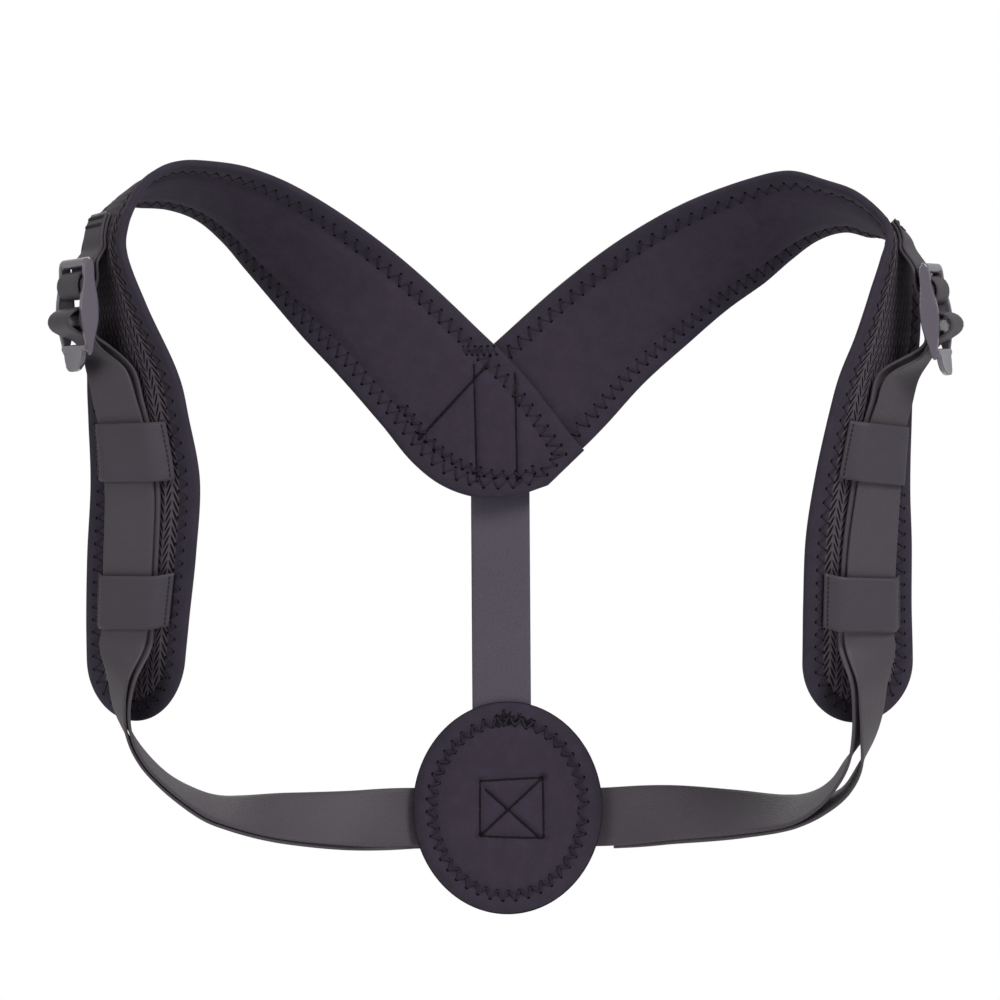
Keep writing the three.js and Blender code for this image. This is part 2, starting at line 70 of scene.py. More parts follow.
@dataclass(frozen=True)
class Sizes:
    """Sizes that several sub-assemblies share, in millimetres."""

    reach: float = 200.0
    forward: float = 90.0
    rise: float = 325.0
    pad_width: float = 56.0
    pad_thick: float = 5.5
    pad_end_round: float = 28.0
    bind_width: float = 9.4
    web_width: float = 25.4
    web_thick: float = 1.4
    web_shift_high: float = 2.4
    web_shift_low: float = 0.2
    web_float: float = 0.4
    slip_high: float = -1.8
    slip_low: float = 1.2
    back_width: float = 82.0
    back_height: float = 92.0
    back_out: float = 2.0
    back_down: float = 163.2
    centre_out: float = -1.6
    centre_top: float = 33.0
    centre_drift: float = 1.4
    side_drop: float = 4.2
    sewn_square: float = 27.0
    loop_height: float = 24.0
    lower_loop_up: float = 57.0
    upper_loop_up: float = 121.0
    loop_foot: float = 3.0
    loop_ramp: float = 1.8
    loop_slack: float = 0.6
    landing_share: float = 0.6
    landing_lift: float = 2.6
    landing_spread: float = 2.0
    tuck: float = 4.6
    anchor_up: float = 222.0
    anchor_sewn: float = 14.0
    anchor_float: float = 0.1
    anchor_slant: float = 4.0
    buckle_shift: float = 6.0
    tail_lift: float = 0.5
    gap: float = 0.3
    layer_gap: float = 0.4

    @property
    def layer(self) -> float:
        """Spacing of two layers of webbing."""
        return self.web_thick + self.layer_gap

    @property
    def back_plane(self) -> float:
        """Outer face of the yoke and of the back pad."""
        return 2 * self.pad_thick + self.gap

    @property
    def pad_seat(self) -> float:
        """From a pad's middle to what lies on it."""
        return self.pad_thick / 2 + self.gap


@dataclass(frozen=True)
class BuckleSizes:
    """Sizes of the ladder-lock buckle, in millimetres."""

    rail_thick: float = 3.2
    rail_deep: float = 8.0
    rail_end_deep: float = 4.6
    rail_below: float = 14.4
    bar_deep: float = 5.6
    bar_high: float = 8.6
    bar_spacing: float = 14.8
    bar_points: int = 48
    bar_teeth: int = 12
    tooth_high: float = 0.5
    top_bar_up: float = 24.1
    top_bar_thick: float = 4.3
    lip_drop: float = 21.0
    lip_thick: float = 2.2
    lip_width: float = 24.0
    lip_flare: float = 1.2
    lip_dish: float = 0.4
    lip_turn: float = 0.985
    lip_point: float = 0.75
    side_play: float = 1.0
    roll_slack: float = 4.6


@dataclass(frozen=True)
class SideSettings:
    """How one side hangs: pile of webbing, tail and buckle."""

    pile: int
    tail_short: float
    buckle_up: float
    buckle_lift: float
    buckle_turn: float
    buckle_tilt: float


SIZES = Sizes()
BUCKLE = BuckleSizes()
SETTINGS: dict[Side, SideSettings] = {
    Side.LEFT: SideSettings(1, 37.0, 178.5, 9.0, 67.0, -1.0),
    Side.RIGHT: SideSettings(2, 46.0, 176.0, 12.0, 75.0, 7.0),
}

# Columns: out, back and up as shares of reach, forward and rise; lean and turn in degrees; wide as a share
# of the strap's width; stack, the pad layers between the strap and the back.
PAD_ROWS: dict[Side, list[tuple[float, ...]]] = {
    Side.LEFT: [
        (-0.136, 0.0, -0.05, 44, 0, 0.39, 0),
        (-0.087, 0.0, -0.048, 46, 0, 0.64, 0),
        (-0.027, 0.0, -0.033, 48, 0, 0.88, 0),
        (0.034, 0.0, -0.007, 48, 0, 1.04, 0),
        (0.09, 0.0, 0.025, 46, 0, 1.09, 0),
        (0.154, 0.0, 0.068, 45, 0, 1.05, 0),
        (0.262, 0.0, 0.137, 48, 3, 1.0, 0),
        (0.348, -0.04, 0.186, 51, 19, 1.0, 0),
        (0.431, -0.11, 0.231, 55, 33, 1.0, 0),
        (0.509, -0.2, 0.269, 60, 45, 1.0, 0),
        (0.576, -0.31, 0.296, 64, 57, 1.0, 0),
        (0.634, -0.4, 0.311, 63, 66, 1.0, 0),
        (0.692, -0.48, 0.317, 57, 70, 1.0, 0),
        (0.742, -0.57, 0.313, 43, 71, 1.0, 0),
        (0.782, -0.64, 0.303, 22, 74, 1.0, 0),
        (0.806, -0.7, 0.284, 8, 73, 1.0, 0),
        (0.829, -0.75, 0.257, 3, 70, 1.0, 0),
        (0.836, -0.79, 0.223, 3, 68, 1.0, 0),
        (0.81, -0.84, 0.155, 3, 61, 1.0, 0),
        (0.772, -0.9, 0.065, 2, 45, 1.0, 0),
        (0.759, -0.91, 0.008, 1, 39, 1.0, 0),
        (0.746, -0.9, -0.067, 0, 33, 1.0, 0),
        (0.756, -0.81, -0.163, 0, 33, 1.0, 0),
        (0.768, -0.69, -0.25, 0, 37, 1.0, 0),
        (0.776, -0.57, -0.328, 0, 41, 1.0, 0),
        (0.778, -0.49, -0.38, 0, 42, 1.0, 0),
    ],
    Side.RIGHT: [
        (-0.184, 0.0, -0.038, 46, 0, 0.3, 1),
        (-0.136, 0.0, -0.042, 46, 0, 0.54, 1),
        (-0.074, 0.0, -0.024, 46, 0, 0.78, 1),
        (-0.004, 0.0, 0.0, 46, 0, 0.95, 1),
        (0.053, 0.0, 0.032, 46, 0, 1.05, 1),
        (0.114, 0.0, 0.068, 45, 0, 1.05, 1),
        (0.214, 0.0, 0.128, 50, 3, 1.0, 0.5),
        (0.327, -0.05, 0.184, 56, 18, 1.0, 0),
        (0.433, -0.12, 0.228, 65, 30, 1.0, 0),
        (0.537, -0.22, 0.26, 75, 40, 1.0, 0),
        (0.613, -0.32, 0.281, 82, 52, 1.0, 0),
        (0.678, -0.43, 0.286, 85, 68, 1.0, 0),
        (0.731, -0.52, 0.283, 84, 76, 1.0, 0),
        (0.775, -0.6, 0.269, 72, 80, 1.0, 0),
        (0.804, -0.67, 0.256, 36, 86, 1.0, 0),
        (0.822, -0.73, 0.24, -5, 80, 1.0, 0),
        (0.828, -0.78, 0.22, -6, 73, 1.0, 0),
        (0.82, -0.83, 0.18, -4, 67, 1.0, 0),
        (0.801, -0.88, 0.114, -2, 59, 1.0, 0),
        (0.777, -0.91, 0.06, 2, 54, 1.0, 0),
        (0.763, -0.92, 0.004, 5, 49, 1.0, 0),
        (0.749, -0.9, -0.072, 5, 42, 1.0, 0),
        (0.743, -0.84, -0.145, 3, 35, 1.0, 0),
        (0.743, -0.74, -0.225, 1, 33, 1.0, 0),
        (0.747, -0.61, -0.305, 0, 31, 1.0, 0),
        (0.746, -0.5, -0.382, 0, 31, 1.0, 0),
    ],
}

# Columns: out, back, up, lean and turn as above; spread, how far the free tail stands off, in webbing
# thicknesses.
WEB_ROWS: dict[Side, list[tuple[float, ...]]] = {
    Side.LEFT: [
        (0.797, -0.71, -0.322, 0, 66, 0.6),
        (0.8, -0.65, -0.362, 0, 76, 0),
        (0.785, -0.59, -0.4, -20, 86, 0),
        (0.757, -0.53, -0.431, -100, 86, 0),
        (0.717, -0.47, -0.458, -120, 84, 0),
        (0.669, -0.4, -0.48, -113, 78, 0),
        (0.622, -0.31, -0.496, -101, 70, 0),
        (0.572, -0.22, -0.504, -94, 61, 0),
        (0.48, -0.1, -0.511, -90, 43, 0),
        (0.338, 0.04, -0.516, -90, 25, 0.5),
    ],
    Side.RIGHT: [
        (0.764, -0.71, -0.326, 2, 56, 0.6),
        (0.765, -0.65, -0.364, 6, 64, 0.7),
        (0.758, -0.59, -0.4, 0, 74, 1.4),
        (0.74, -0.53, -0.436, -50, 87, 2.8),
        (0.712, -0.46, -0.467, -104, 86, 2.8),
        (0.67, -0.38, -0.488, -98, 77, 1.2),
        (0.614, -0.27, -0.501, -90, 63, 0),
        (0.504, -0.11, -0.506, -90, 45, 0),
        (0.362, 0.03, -0.508, -90, 24, 0),
    ],
}


def unit(vectors: Array) -> Array:
    """Scale vectors to length one.

    Args:
        vectors: Vectors in the last axis.

    Returns:
        The same directions with length one.
    """
    return vectors / np.linalg.norm(vectors, axis=-1, keepdims=True)


def across_of(sign: int, lean: float, turn: float) -> Array:
    """Direction across a strap, from its arm edge to its neck edge.

    Args:
        sign: Sign of the side's X.
        lean: Slope of the width towards the neck, in degrees.
        turn: How far the neck edge comes forward, in degrees.

    Returns:
        A unit vector.
    """
    slope, twist = math.radians(lean), math.radians(turn)
    level = math.cos(twist)
    return np.array([-sign * math.cos(slope) * level, -math.sin(twist), math.sin(slope) * level])


def catmull_rom(knots: Array, shares: Array, centripetal: bool) -> Array:
    """Points on a smooth line through knots.

    Args:
        knots: The knots, one a row.
        shares: Places from 0 at the first knot to 1 at the last.
        centripetal: Space the knots by the square root of their distance.

    Returns:
        One point for each share.
    """
    place = np.clip(shares, 0, 1) * (len(knots) - 1)
    first = np.minimum(place.astype(int), len(knots) - 2)
    weight = (place - first)[:, None]
    ends = np.vstack([2 * knots[0] - knots[1], knots, 2 * knots[-1] - knots[-2]])
    p0, p1, p2, p3 = (ends[first + step] for step in range(4))
    if centripetal:
        d0, d1, d2 = (
            np.maximum(np.sqrt(np.linalg.norm(b - a, axis=1)), 1e-4)[:, None]
            for a, b in ((p0, p1), (p1, p2), (p2, p3))
        )
        leave = ((p1 - p0) / d0 - (p2 - p0) / (d0 + d1) + (p2 - p1) / d1) * d1
        arrive = ((p2 - p1) / d1 - (p3 - p1) / (d1 + d2) + (p3 - p2) / d2) * d1
    else:
        leave, arrive = 0.5 * (p2 - p0), 0.5 * (p3 - p1)
    square = -3 * p1 + 3 * p2 - 2 * leave - arrive
    cube = 2 * p1 - 2 * p2 + leave + arrive
    return p1 + weight * (leave + weight * (square + weight * cube))


@dataclass
class Stations:
    """Places along a route: points, directions and the share of full width there."""

    point: Array
    across: Array
    along: Array
    out: Array
    wide: Array

    def place(self, across: Array, out: Array) -> Array:
        """Points at distances across and outwards from the stations.

        Args:
            across: Distances across, one row a station.
            out: Distances outwards, of the same shape.

        Returns:
            Points, with one more axis than the distances.
        """
        shape = (len(self.point),) + (1,) * (np.ndim(across) - 1) + (3,)
        point, width, away = (values.reshape(shape) for values in (self.point, self.across, self.out))
        return point + np.asarray(across)[..., None] * width + np.asarray(out)[..., None] * away


class Route:
    """A smooth route of a strap through frames, each a point and the direction across."""

    def __init__(self, points: Array, across: Array, sign: int) -> None:
        """Measure the route.

        Args:
            points: The frames' points.
            across: The frames' directions across, scaled by the share of full width.
            sign: Sign of the side's X.
        """
        self.points = np.asarray(points, float)
        self.across = np.asarray(across, float)
        self.sign = sign
        self._shares = np.linspace(0, 1, 20 * len(self.points) + 1)
        line = catmull_rom(self.points, self._shares, True)
        self._lengths = np.concatenate([[0], np.cumsum(np.linalg.norm(np.diff(line, axis=0), axis=1))])

    @property
    def length(self) -> float:
        """Length of the route."""
        return float(self._lengths[-1])

    def share_at(self, distance: float) -> float:
        """Share of the frames at a distance along the route."""
        return float(np.interp(distance, self._lengths, self._shares))

    def at(self, shares: Array) -> Stations:
        """Stations at shares of the frames.

        Args:
            shares: Places from 0 to 1.

        Returns:
            The stations.
        """
        shares = np.atleast_1d(np.asarray(shares, float))
        nudge = 1e-4
        span = catmull_rom(self.across, shares, False)
        ahead = catmull_rom(self.points, np.minimum(shares + nudge, 1), True)
        behind = catmull_rom(self.points, np.maximum(shares - nudge, 0), True)
        along, across = unit(ahead - behind), unit(span)
        out = unit(np.cross(across, along) * self.sign)
        wide = np.linalg.norm(span, axis=1)
        return Stations(catmull_rom(self.points, shares, True), across, along, out, wide)

    def after(self, distances: Array) -> Stations:
        """Stations at distances along the route."""
        return self.at(np.interp(distances, self._lengths, self._shares))

    def before(self, distances: Array) -> Stations:
        """Stations at distances back from the route's end."""
        return self.after(self.length - np.atleast_1d(np.asarray(distances, float)))


def pad_route(side: Side) -> Route:
    """Route of a padded shoulder strap's middle, from the yoke to its lower end.

    Args:
        side: Which strap.

    Returns:
        The route.
    """
    points, across = [], []
    for out, back, up, lean, turn, wide, stack in PAD_ROWS[side]:
        depth = back * SIZES.forward + stack * (SIZES.pad_thick + SIZES.gap) + SIZES.pad_thick / 2
        points.append((side.sign * out * SIZES.reach, depth, up * SIZES.rise))
        across.append(across_of(side.sign, lean, turn) * wide)
    return Route(np.array(points), np.array(across), side.sign)


def waves(u: Array, v: Array, length: float, seed: int) -> Array:
    """A calm, repeatable unevenness such as hand-cut foam has.

    Args:
        u: Places along, in millimetres.
        v: Places across, in millimetres.
        length: Length of the longest wave.
        seed: Which pattern.

    Returns:
        Heights between about -1 and 1.
    """
    draw = np.random.default_rng(seed)
    total = np.zeros(np.broadcast(u, v).shape)
    for octave in range(5):
        angle, phase = draw.uniform(0, TAU, 2)
        pace = TAU / length * 1.6**octave
        total += np.sin(pace * (u * math.cos(angle) + v * math.sin(angle)) + phase) / 1.5**octave
    return total / 2.4


def linear(code: str, alpha: float = 1.0) -> tuple[float, float, float, float]:
    """Turn an sRGB hex colour to linear.

    Args:
        code: Six hex digits, with or without a leading hash.
        alpha: Opacity.

    Returns:
        Red, green, blue and alpha.
    """
    shares = (int(code.lstrip("#")[i : i + 2], 16) / 255 for i in (0, 2, 4))
    red, green, blue = (s / 12.92 if s <= 0.04045 else ((s + 0.055) / 1.055) ** 2.4 for s in shares)
    return red, green, blue, alpha


def add_node(
    tree: bpy.types.NodeTree,
    kind: str,
    settings: dict[str, object] | None = None,
    links: dict[int | str, object] | None = None,
) -> bpy.types.Node:
    """Add a node with its settings and links.

    Args:
        tree: The node tree.
        kind: Blender's name of the node type.
        settings: Attributes of the node.
        links: Input sockets, by name or number, and the value or output socket that each one takes.

    Returns:
        The node.
    """
    made = tree.nodes.new(kind)
    for name, value in (settings or {}).items():
        setattr(made, name, value)
    for name, value in (links or {}).items():
        if isinstance(value, bpy.types.NodeSocket):
            tree.links.new(value, made.inputs[name])
        else:
            made.inputs[name].default_value = value
    return made


def maths(tree: bpy.types.NodeTree, operation: str, *values: object) -> bpy.types.NodeSocket:
    """One sum on the surface's own coordinates.

    Args:
        tree: The node tree.
        operation: Blender's name of the operation.
        values: Its inputs, numbers or output sockets.

    Returns:
        The result's socket.
    """
    made = add_node(tree, "ShaderNodeMath", {"operation": operation}, dict(enumerate(values)))
    return made.outputs[0]


@dataclass(frozen=True)
class Finish:
    """What every finish has: its name, its colour and how its surface takes light."""

    name: str
    colour: str
    roughness: float
    sheen: float = 0.0
    specular: float = 0.15
    ior: float = 1.5

    def start(self) -> tuple[bpy.types.Material, bpy.types.NodeTree, bpy.types.Node]:
        """Make the material with its shader.

        Returns:
            The material, its node tree and its Principled shader.
        """
        made = bpy.data.materials.new(self.name)
        made.use_nodes = True
        tree = made.node_tree
        shader = tree.nodes["Principled BSDF"]
        shader.inputs["Roughness"].default_value = self.roughness
        shader.inputs["IOR"].default_value = self.ior
        shader.inputs["Specular IOR Level"].default_value = self.specular
        shader.inputs["Sheen Weight"].default_value = self.sheen
        shader.inputs["Sheen Roughness"].default_value = 0.5
        shader.inputs["Base Color"].default_value = linear(self.colour)
        return made, tree, shader

    def lay(self, tree: bpy.types.NodeTree) -> tuple[bpy.types.NodeSocket, bpy.types.NodeSocket]:
        """Places across and along the cloth, in millimetres.

        Args:
            tree: The node tree.

        Returns:
            The two sockets.
        """
        places = add_node(tree, "ShaderNodeUVMap", {"uv_map": "lay"})
        split = add_node(tree, "ShaderNodeSeparateXYZ", None, {0: places.outputs[0]})
        return maths(tree, "DIVIDE", split.outputs[0], MM), maths(tree, "DIVIDE", split.outputs[1], MM)

    def mottle(self, tree: bpy.types.NodeTree, size: float, detail: float = 3.0) -> bpy.types.NodeSocket:
        """Soft patches of a real size, from 0 to 1.

        Args:
            tree: The node tree.
            size: Size of a patch in millimetres.
            detail: How broken the patches are.

        Returns:
            The value's socket.
        """
        places = add_node(tree, "ShaderNodeTexCoord")
        scale = 1 / (size * MM)
        patches = add_node(
            tree,
            "ShaderNodeTexNoise",
            {"noise_dimensions": "3D"},
            {"Vector": places.outputs["Object"], "Scale": scale, "Detail": detail, "Roughness": 0.6},
        )
        return patches.outputs[0]

    def tint(
        self,
        tree: bpy.types.NodeTree,
        shader: bpy.types.Node,
        share: bpy.types.NodeSocket,
        darker: str,
        lighter: str,
    ) -> None:
        """Colour the surface between two tones.

        Args:
            tree: The node tree.
            shader: The Principled shader.
            share: 0 for the darker tone and 1 for the lighter.
            darker: sRGB hex of the darker tone.
            lighter: sRGB hex of the lighter tone.
        """
        blend = add_node(
            tree,
            "ShaderNodeMix",
            {"data_type": "RGBA"},
            {0: share, 6: linear(darker), 7: linear(lighter)},
        )
        tree.links.new(blend.outputs[2], shader.inputs["Base Color"])

    def relief(
        self,
        tree: bpy.types.NodeTree,
        shader: bpy.types.Node,
        height: bpy.types.NodeSocket,
        depth: float,
        strength: float = 1.0,
    ) -> None:
        """Raise the surface by a height pattern.

        Args:
            tree: The node tree.
            shader: The Principled shader.
            height: The pattern, from 0 to 1.
            depth: Its depth in millimetres.
            strength: Strength of the relief.
        """
        bump = add_node(
            tree,
            "ShaderNodeBump",
            None,
            {"Height": height, "Distance": depth * MM, "Strength": strength},
        )
        tree.links.new(bump.outputs[0], shader.inputs["Normal"])


@dataclass(frozen=True)
class BrushedKnit(Finish):
    """Polyester knit with a brushed face, bonded to foam: matt, soft and faintly mottled."""

    loop_pitch: float = 1.1
    darker: float = 0.72
    lighter: float = 1.28
    patch: float = 7.0

    def build(self) -> bpy.types.Material:
        """Make the material.

        Returns:
            The material.
        """
        made, tree, shader = self.start()
        across, along = self.lay(tree)
        # Real loops are 0.5 mm apart. They are drawn at about 1 mm, so that they show in the render.
        ribs = maths(tree, "SINE", maths(tree, "MULTIPLY", across, TAU / self.loop_pitch))
        rows = maths(tree, "SINE", maths(tree, "MULTIPLY", along, TAU / (1.3 * self.loop_pitch)))
        loops = maths(tree, "MULTIPLY_ADD", maths(tree, "MULTIPLY", ribs, rows), 0.2, 0.5)
        fuzz = self.mottle(tree, 0.9, 6.0)
        height = maths(tree, "MULTIPLY_ADD", fuzz, 0.7, loops)
        self.relief(tree, shader, height, 0.16, 0.7)
        broad = self.mottle(tree, self.patch)
        patches = maths(tree, "MULTIPLY_ADD", broad, 0.6, maths(tree, "MULTIPLY", fuzz, 0.4))
        self.tint(tree, shader, patches, shade(self.colour, self.darker), shade(self.colour, self.lighter))
        return made


@dataclass(frozen=True)
class AirMesh(Finish):
    """Knitted polyester spacer mesh: rows of open cells that slant to and fro, with painted shade inside
    them.
    """

    cell_across: float = 3.1
    cell_along: float = 3.7
    slant: float = 2.1
    open_across: float = 0.44
    open_along: float = 0.33
    rim_from: float = 0.45
    rim_to: float = 1.15
    cell_depth: float = 0.7
    cell_shade_tone: float = 0.2
    thread_tone: float = 1.3

    def build(self) -> bpy.types.Material:
        """Make the material.

        Returns:
            The material.
        """
        made, tree, shader = self.start()
        across, along = self.lay(tree)
        # The cells lean one way in one column and the other way in the next, which gives the chevrons.
        column = maths(tree, "PINGPONG", across, self.cell_across)
        slanted = maths(tree, "MULTIPLY_ADD", column, self.slant, along)
        row = maths(tree, "FRACT", maths(tree, "DIVIDE", slanted, self.cell_along))
        opening = self.open_across * self.cell_across
        sideways = maths(tree, "MULTIPLY_ADD", column, 1 / opening, -0.5 / self.open_across)
        upwards = maths(tree, "MULTIPLY_ADD", row, 1 / self.open_along, -0.5 / self.open_along)
        reach = maths(tree, "MULTIPLY", sideways, sideways)
        reach = maths(tree, "MULTIPLY_ADD", upwards, upwards, reach)
        hole = add_node(
            tree,
            "ShaderNodeMapRange",
            {"interpolation_type": "SMOOTHSTEP"},
            {0: reach, 1: self.rim_from, 2: self.rim_to, 3: 0.0, 4: 1.0},
        ).outputs[0]
        threads = self.mottle(tree, 0.7, 5.0)
        height = maths(tree, "MULTIPLY_ADD", threads, 0.15, hole)
        self.relief(tree, shader, height, self.cell_depth, 0.8)
        # Painted shade: the open cells are darkened as the shade inside them; the threads between keep the
        # mesh's own tone.
        self.tint(
            tree, shader, hole, shade(self.colour, self.cell_shade_tone), shade(self.colour, self.thread_tone)
        )
        return made


@dataclass(frozen=True)
class WovenWebbing(Finish):
    """Woven polyester webbing, heat-set: fine ribs along, crossed by the weft, with a satin gleam."""

    rib_pitch: float = 1.05
    weft_pitch: float = 1.5
    contrast: float = 0.07
    wear_patch: float = 22.0

    def build(self) -> bpy.types.Material:
        """Make the material.

        Returns:
            The material.
        """
        made, tree, shader = self.start()
        across, along = self.lay(tree)
        # Real ribs are about 0.8 mm apart. They are drawn a little coarser, so that they show.
        place = maths(tree, "DIVIDE", across, self.rib_pitch)
        rib = maths(tree, "ABSOLUTE", maths(tree, "SINE", maths(tree, "MULTIPLY", place, math.pi)))
        step = maths(tree, "MULTIPLY", maths(tree, "FLOOR", place), math.pi)
        weft = maths(tree, "MULTIPLY_ADD", along, TAU / self.weft_pitch, step)
        hump = maths(tree, "MULTIPLY_ADD", maths(tree, "SINE", weft), 0.3, 0.7)
        weave = maths(tree, "MULTIPLY", rib, hump)
        fuzz = self.mottle(tree, 0.6, 4.0)
        self.relief(tree, shader, maths(tree, "MULTIPLY_ADD", fuzz, 0.4, weave), 0.14, 0.45)
        # Colour: random patches of tone, and painted shade that darkens the weave where it lies low between
        # the ribs.
        patches = self.mottle(tree, self.wear_patch, 2.0)
        patches_and_rib_shade = maths(tree, "MULTIPLY_ADD", patches, 0.5, maths(tree, "MULTIPLY", weave, 0.5))
        darker, lighter = shade(self.colour, 1 - self.contrast), shade(self.colour, 1 + self.contrast)
        self.tint(tree, shader, patches_and_rib_shade, darker, lighter)
        return made


@dataclass(frozen=True)
class SewingThread(Finish):
    """Spun polyester sewing thread: two plies twisted, with a faint gleam."""

    twist_pitch: float = 0.7

    def build(self) -> bpy.types.Material:
        """Make the material.

        Returns:
            The material.
        """
        made, tree, shader = self.start()
        across, along = self.lay(tree)
        turns = maths(tree, "MULTIPLY_ADD", across, 2.2, along)
        twist = maths(tree, "SINE", maths(tree, "MULTIPLY", turns, TAU / self.twist_pitch))
        self.relief(tree, shader, maths(tree, "MULTIPLY_ADD", twist, 0.5, 0.5), 0.06, 0.6)
        return made


@dataclass(frozen=True)
class NeedleHoleShadow(Finish):
    """Painted shadow in a needle hole, where the thread pulls the cloth down: a nearly black, dull colour on
    a small dome.
    """

    def build(self) -> bpy.types.Material:
        """Make the material."""
        return self.start()[0]


@dataclass(frozen=True)
class MouldedAcetal(Finish):
    """Injection-moulded acetal: smooth and semi-gloss, with the faintest orange peel."""

    coat: float = 0.6
    coat_roughness: float = 0.14

    def build(self) -> bpy.types.Material:
        """Make the material.

        Returns:
            The material.
        """
        made, tree, shader = self.start()
        shader.inputs["Coat Weight"].default_value = self.coat
        shader.inputs["Coat Roughness"].default_value = self.coat_roughness
        grain = self.mottle(tree, 1.2, 4.0)
        self.relief(tree, shader, grain, 0.008, 0.25)
        smears = add_node(
            tree,
            "ShaderNodeMapRange",
            None,
            {0: self.mottle(tree, 9.0), 3: self.roughness - 0.05, 4: self.roughness + 0.07},
        )
        tree.links.new(smears.outputs[0], shader.inputs["Roughness"])
        return made


@dataclass(frozen=True)
class PaintedFloor(Finish):
    """Matt white painted board, for the floor under the brace."""

    def build(self) -> bpy.types.Material:
        """Make the material.

        Returns:
            The material.
        """
        made, tree, shader = self.start()
        self.relief(tree, shader, self.mottle(tree, 3.0), 0.02, 0.2)
        return made


def shade(code: str, factor: float) -> str:
    """Make an sRGB hex colour lighter or darker.

    Args:
        code: The colour.
        factor: What each channel is multiplied by.

    Returns:
        The new colour.
    """
    digits = code.lstrip("#")
    return "".join(f"{min(255, round(int(digits[i:i + 2], 16) * factor)):02x}" for i in (0, 2, 4))


class Finishes:
    """Every material of the brace, made once."""

    def __init__(self) -> None:
        """Make the materials."""
        self.knit = BrushedKnit("brushed_polyester_knit", "2e2833", 0.92, 0.03).build()
        self.binding = BrushedKnit("knitted_binding_tape", "2c2731", 0.9, 0.03, loop_pitch=0.8).build()
        self.mesh = AirMesh("polyester_air_mesh", "383239", 0.85, 0.02).build()
        self.side_webbing = WovenWebbing("woven_polyester_webbing", "3d383e", 0.6, 0.02, 0.3).build()
        self.centre_webbing = WovenWebbing("satin_polyester_webbing", "433d49", 0.5, 0.02, 0.35).build()
        self.loop_tape = WovenWebbing(
            "flat_polyester_tape", "37323a", 0.62, 0.02, 0.3, weft_pitch=1.2
        ).build()
        self.thread = SewingThread("spun_polyester_thread", "28232c", 0.75).build()
        self.dark_thread = SewingThread("spun_polyester_thread_dark", "131016", 0.85).build()
        # Painted shadow: a nearly black colour for the small domes in the needle holes.
        self.hole = NeedleHoleShadow("painted_needle_hole_shadow", "0f0d11", 0.95, 0.0, 0.0).build()
        self.acetal = MouldedAcetal("moulded_acetal", "4f4954", 0.24, 0.0, 0.6).build()
        self.floor = PaintedFloor("painted_board", "f4f4f4", 0.8, 0.0, 0.4).build()


@dataclass
class Fabricator:
    """Turns arrays into pieces that ride on the brace."""

    finishes: Finishes
    body: str = "root"

    def piece(
        self,
        name: str,
        points: Array,
        faces: list[list[int]],
        materials: list[bpy.types.Material],
        chosen: Array | None = None,
        lay: Array | None = None,
    ) -> bpy.types.Object:
        """Make one mesh piece.

        Args:
            name: The piece's name.
            points: Its points in millimetres.
            faces: Its faces, as lists of point numbers.
            materials: Its materials.
            chosen: The number of each face's material.
            lay: Each point's place across and along the cloth, in millimetres.

        Returns:
            The object, riding on the brace.
        """
        mesh = bpy.data.meshes.new(name)
        mesh.from_pydata((points * MM).tolist(), [], faces)
        for material in materials:
            mesh.materials.append(material)
        if chosen is not None:
            mesh.polygons.foreach_set("material_index", np.asarray(chosen, np.int32))
        if lay is not None:
            corners = np.zeros(len(mesh.loops), np.int32)
            mesh.loops.foreach_get("vertex_index", corners)
            mesh.uv_layers.new(name="lay").data.foreach_set("uv", (lay[corners] * MM).ravel())
        mesh.polygons.foreach_set("use_smooth", np.ones(len(mesh.polygons), bool))
        mesh.update()
        made = bpy.data.objects.new(name, mesh)
        bpy.context.scene.collection.objects.link(made)
        self.face_outwards(made)
        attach(made, self.body)
        LOG.info("%s: %d faces", name, len(mesh.polygons))
        return made

    @staticmethod
    def face_outwards(made: bpy.types.Object) -> None:
        """Turn a piece's faces outwards.

        Args:
            made: The piece.
        """
        work = bmesh.new()
        work.from_mesh(made.data)
        bmesh.ops.recalc_face_normals(work, faces=work.faces)
        if work.calc_volume(signed=True) < 0:
            bmesh.ops.reverse_faces(work, faces=work.faces)
        work.to_mesh(made.data)
        work.free()


def tube_faces(rings: int, around: int) -> list[list[int]]:
    """Faces of a closed tube of rings, with flat ends.

    Args:
        rings: Number of rings.
        around: Points in a ring.

    Returns:
        The faces.
    """
    ring = np.arange(rings - 1)[:, None] * around
    place = np.arange(around)[None, :]
    after = (place + 1) % around
    quads = np.stack([ring + place, ring + after, ring + around + after, ring + around + place], axis=-1)
    last = (rings - 1) * around
    ends = [list(range(around - 1, -1, -1)), list(range(last, last + around))]
    return quads.reshape(-1, 4).tolist() + ends


